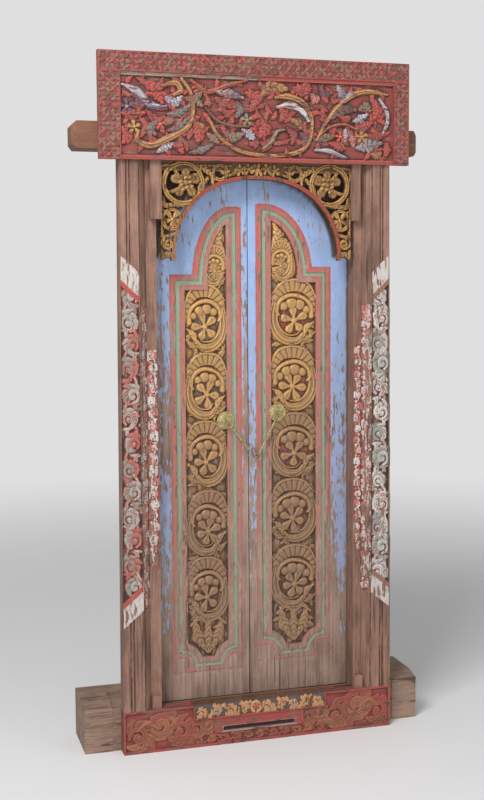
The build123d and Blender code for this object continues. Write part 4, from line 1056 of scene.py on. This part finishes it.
def fret():
    """The pierced and gilded arch board, cut along the outlines of its scrolls."""
    x0, x1, front, back, bottom, top = limits("arch_fretwork")
    face, deepest, rail_low, arch_rim = 27.0, 10.0, 1874, 12
    c = Carving(ticks(x0, x1, 2.0), ticks(bottom, top, 2.0), GOLD_DARK)
    for side in (-1, 1):
        fret_strokes(c, side)
    c.bud(ARCH_MIDDLE, 1882, 17, 9, GOLD, 6, 0.2, gilt=0.9)
    outside = arch_edge(c.x, c.z)
    rim = (outside > 0) & (outside < arch_rim)
    c.inside = np.maximum(c.inside, np.minimum(outside, arch_rim - outside))
    c.height = np.where(rim, 7.2, c.height)
    worn = step(1800, 1700, c.z) * (c.x < 0)
    c.paint(rim, mix(rgb(138, 60, 44), rgb(132, 92, 56), worn))
    c.gilt = np.where(rim, 0.1, c.gilt)
    c.inside = np.where(outside < arch_rim, np.minimum(outside, 20), c.inside)
    rail = (c.z > rail_low) & (c.height < 6)
    c.inside = np.where(c.z > rail_low, 9.0, c.inside)
    c.height = np.where(rail, 5.0, c.height)
    c.paint(rail, rgb(110, 74, 52))
    c.inside = np.minimum(c.inside, (c.from_edge() + 0.6) * 3)
    c.dirt_shade_and_ridge_highlight(rgb(40, 22, 14), 1.0, 2, 1.1, 0.5)
    # Cells that are mostly solid stay, and points on a cut edge slide to the drawn outline
    solid = c.inside > 0
    cell = (solid[:-1, :-1].astype(int) + solid[1:, :-1] + solid[:-1, 1:] + solid[1:, 1:]) >= 2
    cells_round = np.zeros(solid.shape, int)
    for a in (slice(0, -1), slice(1, None)):
        for b in (slice(0, -1), slice(1, None)):
            cells_round[a, b] += cell
    used = cells_round > 0
    cut = used & (cells_round < 4)
    gz, gx = np.gradient(c.inside, c.zs, c.xs)
    shift = np.clip(c.inside, -2.2, 2.2) / np.maximum(gx**2 + gz**2, 0.2)
    nx = np.clip(c.x - np.where(cut, np.clip(shift * gx, -0.95, 0.95), 0), x0, x1)
    nz = np.clip(c.z - np.where(cut, np.clip(shift * gz, -0.95, 0.95), 0), bottom, top)
    total = int(used.sum())
    number = np.full(solid.shape, -1)
    number[used] = np.arange(total)
    surface = np.maximum(face - np.clip(c.height[used], 0.5, deepest), front)
    verts = [np.stack([nx[used] / 1000, (y - MIDDLE) / 1000, nz[used] / 1000], 1)
             for y in (surface, np.full(total, back))]
    corners = [number[rows, columns][cell] for rows, columns in (
        (slice(0, -1), slice(0, -1)), (slice(0, -1), slice(1, None)),
        (slice(1, None), slice(1, None)), (slice(1, None), slice(0, -1)))]
    faces = np.stack(corners, 1)
    walls = {}
    for first, second in zip(corners, corners[1:] + corners[:1]):
        for a, b in zip(first.tolist(), second.tolist()):
            if (b, a) in walls:
                del walls[(b, a)]
            else:
                walls[(a, b)] = True
    sides = [[b, a, a + total, b + total] for a, b in walls]
    all_faces = faces.tolist() + (faces[:, ::-1] + total).tolist() + sides
    # Painted shade: the back points are near black, so the walls of the cut-outs darken towards the back
    layers = {"colour": np.concatenate([c.colour[used], np.full((total, 3), 0.012)]),
              "wear": np.full(total * 2, 0.24), "gilt": np.concatenate([c.gilt[used]] * 2)}
    fill_mesh("arch_fretwork_scrolls", np.concatenate(verts).tolist(), all_faces, layers, gilt_paint,
              "frame", ["arch_fretwork"], 50)


def turned(name, rings, material, body, nodes, place, turn=None, closed=False):
    """A mesh from rings of points, moved into place."""
    count = len(rings[0])
    verts = [v for ring in rings for v in ring]
    faces = []
    last = len(rings) if closed else len(rings) - 1
    for i in range(last):
        for k in range(count):
            a, b = i * count + k, i * count + (k + 1) % count
            j = ((i + 1) % len(rings)) * count
            faces.append([a, b, j + (k + 1) % count, j + k])
    if not closed:
        faces += [list(range(count))[::-1], list(range(len(verts) - count, len(verts)))]
    matrix = Matrix.Translation(metres(*place)) @ (turn or Matrix.Identity(4))
    verts = [tuple(matrix @ Vector([c / 1000 for c in v])) for v in verts]
    fill_mesh(name, verts, faces, {}, material, body, nodes, 30)


def torus(radius, wire, count=40):
    """Rings of points round a hoop lying in the X and Z plane."""
    sides = 10
    rings = []
    for i in range(count):
        a = 2 * math.pi * i / count
        ring = []
        for k in range(sides):
            b = 2 * math.pi * k / sides
            r = radius + wire * math.cos(b)
            ring.append((r * math.cos(a), wire * math.sin(b), r * math.sin(a)))
        rings.append(ring)
    return rings


PULL_DEPTH = 84.0
LINK_LOOP = (17.0, 942.0)
WIRE = 1.9


def hardware():
    """Dished plates, eyes, twisted pulls and the copper ring."""
    profile = [(30.0, 0), (29.5, 1.4), (27, 2.2), (24.5, 1.6), (22, 2.6), (17, 4.6), (13, 5.6), (9, 5.9),
               (5, 6.0), (2.6, 6.0), (2.6, 0)]
    for side, label in SIDES:
        body, plate, staple = "leaf_" + label + "_body", "rosette_" + label, "staple_" + label
        x0, x1, _, back, z0, z1 = limits(plate)
        centre = ((x0 + x1) / 2, back, (z0 + z1) / 2)
        rings = []
        for i in range(40):
            a = 2 * math.pi * i / 40
            rings.append([(r * math.cos(a), -h, r * math.sin(a)) for r, h in profile])
        turned("rosette_plate_" + label, rings, brass, body, [plate], centre, closed=True)
        hang = math.radians(-53.8 if side < 0 else -115.4)
        eye = Matrix.Rotation(-(math.pi / 2 + hang), 4, "Y") @ Matrix.Rotation(math.pi / 2, 4, "Z")
        place = (centre[0], PULL_DEPTH, centre[2])
        turned("eye_" + label, torus(8.0, 1.7), brass, body, [staple], place, eye, closed=True)
        around_shank = [2 * math.pi * k / 20 for k in range(20)]
        shank = [[(2.5 * math.cos(a), y, 2.5 * math.sin(a)) for a in around_shank] for y in (8.0, 40.0)]
        turned("shank_" + label, shank, brass, body, [staple], place)
        pull(side, label, centre, hang)
    reach = math.radians(121.0)
    x, z = polar(LINK_LOOP, 20, reach)
    tilt = Matrix.Rotation(-reach, 4, "Y") @ Matrix.Rotation(math.radians(45), 4, "X")
    turned("link_hoop", torus(14.0, WIRE, 44), copper, "link_body", ["link_ring"],
           (x, PULL_DEPTH, z), tilt, closed=True)


def pull(side, label, centre, hang):
    """One pull: ring, twisted square rod and end loop."""
    body, node = "pull_" + label + "_body", "pull_" + label
    xa, za = polar((centre[0], centre[2]), 15.1, hang)
    (xb, zb), end = ((-17.4, 974.0), 4.0) if side < 0 else (LINK_LOOP, 12.0)
    for name, radius, x, z in (("pull_ring_", 11.0, xa, za), ("pull_end_", end, xb, zb)):
        turned(name + label, torus(radius, WIRE), brass, body, [node], (x, PULL_DEPTH, z),
               closed=True)
    low, high = 11.0, math.hypot(xb - xa, zb - za) - end
    steps = 110
    rings = []
    for i in range(steps + 1):
        share = i / steps
        angle = share * 4.4 * math.pi * (high - low) / 110
        swell = 1 - 0.35 * (abs(2 * share - 1) ** 6)
        ring = []
        for k in range(12):
            a = 2 * math.pi * k / 12
            square = 3.1 / max(abs(math.cos(a)), abs(math.sin(a))) ** 0.8
            ring.append((low + (high - low) * share, square * swell * math.cos(a + angle),
                         square * swell * math.sin(a + angle)))
        rings.append(ring)
    aim = Matrix.Rotation(-math.atan2(zb - za, xb - xa), 4, "Y")
    turned("pull_rod_" + label, rings, brass, body, [node], (xa, PULL_DEPTH, za), aim)


def dress(node, material):
    """A plain piece keeps its packed form and takes a material, with its edges eased."""
    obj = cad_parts[node]
    obj.data.materials.clear()
    obj.data.materials.append(material)
    bevel = obj.modifiers.new("eased", "BEVEL")
    bevel.width = 0.0018
    bevel.segments = 2
    bevel.limit_method = "ANGLE"
    bevel.angle_limit = math.radians(50)


header_panel()
for border in ("header_border_top", "header_border_left", "header_border_right"):
    studded(border)
apron()
threshold()
for side, label in SIDES:
    jamb(side, label)
    nose_carving(side, label)
fret()
hardware()
dress("sill_beam", sill_wood)
dress("head_beam", head_wood)
dress("header_rail", head_wood)
for side, label in SIDES:
    for node in ("post_", "foot_block_", "header_cleat_", "fret_cleat_"):
        dress(node + label, post_wood)


PALE_SURROUND = (0.74, 0.74, 0.745, 1)


def pale_floor():
    """A pale floor that fades into a pale surround away from the door."""
    wide = 40.0
    mesh = bpy.data.meshes.new("floor")
    corners = [(-wide, -wide, 0), (wide, -wide, 0), (wide, wide, 0), (-wide, wide, 0)]
    mesh.from_pydata(corners, [], [[0, 1, 2, 3]])
    floor = bpy.data.objects.new("floor", mesh)
    bpy.context.scene.collection.objects.link(floor)
    s = Shader("floor_paint")
    cloud = s.noise(0.8, (1, 1, 1), 2, 0.4)
    s.finish(s.mix(cloud, np.array([0.80, 0.80, 0.80]), np.array([0.83, 0.83, 0.83])), 0.85)
    reach = s.tree.nodes.new("ShaderNodeVectorMath")
    reach.operation = "LENGTH"
    s.put(reach.inputs[0], s.place)
    glow = s.node("ShaderNodeEmission", Color=PALE_SURROUND)
    blend = s.node("ShaderNodeMixShader", Fac=s.remap(reach.outputs["Value"], 1.3, 6.0))
    s.put(blend.inputs[1], s.shader.outputs[0])
    s.put(blend.inputs[2], glow.outputs[0])
    s.put(s.tree.nodes["Material Output"].inputs["Surface"], blend.outputs[0])
    mesh.materials.append(s.material)


def light():
    """A weak even light, pale where the camera sees it, a soft key from the left and two weaker fills."""
    world = bpy.data.worlds.new("studio")
    bpy.context.scene.world = world
    world.use_nodes = True
    nodes, links = world.node_tree.nodes, world.node_tree.links
    lit = nodes["Background"]
    lit.inputs["Color"].default_value = (0.97, 0.98, 1.0, 1)
    lit.inputs["Strength"].default_value = 0.36
    seen = nodes.new("ShaderNodeBackground")
    seen.inputs["Color"].default_value = PALE_SURROUND
    both = nodes.new("ShaderNodeMixShader")
    links.new(nodes.new("ShaderNodeLightPath").outputs["Is Camera Ray"], both.inputs[0])
    links.new(lit.outputs[0], both.inputs[1])
    links.new(seen.outputs[0], both.inputs[2])
    links.new(both.outputs[0], nodes["World Output"].inputs["Surface"])
    aim_at = Vector((0, 0, 1.1))
    lamps = (("key", (-2.2, -2.6, 4.2), 1.6, 165), ("fill", (3.2, -3.6, 2.0), 2.6, 42),
             ("low", (-1.4, -4.4, 0.9), 2.4, 42))
    for name, place, size, power in lamps:
        lamp = bpy.data.lights.new(name, "AREA")
        lamp.energy, lamp.size = power, size
        obj = bpy.data.objects.new(name, lamp)
        obj.location = place
        obj.rotation_euler = (aim_at - Vector(place)).to_track_quat("-Z", "Y").to_euler()
        bpy.context.scene.collection.objects.link(obj)


def camera():
    """The photograph's eye: place and angles solved from the frame's straight edges."""
    scene = bpy.context.scene
    eye = bpy.data.objects.new("camera", bpy.data.cameras.new("camera"))
    scene.collection.objects.link(eye)
    yaw, pitch, roll = (math.radians(a) for a in (16.39, -5.44, -0.36))
    ahead = Vector((math.sin(yaw) * math.cos(pitch), math.cos(yaw) * math.cos(pitch), math.sin(pitch)))
    right = ahead.cross(Vector((0, 0, 1))).normalized()
    up = right.cross(ahead)
    right, up = (right * math.cos(roll) + up * math.sin(roll), up * math.cos(roll) - right * math.sin(roll))
    turn = Matrix((right, up, -ahead)).transposed().to_4x4()
    eye.matrix_world = Matrix.Translation(metres(-1161.7, -3746.5, 1515.2)) @ turn
    sensor, photo_height, focal_pixels = 36, 800, 1211.34
    eye.data.sensor_width = sensor
    eye.data.lens = sensor * focal_pixels / photo_height
    scene.camera = eye


pale_floor()
light()
camera()
bpy.context.scene.view_settings.view_transform = "Standard"
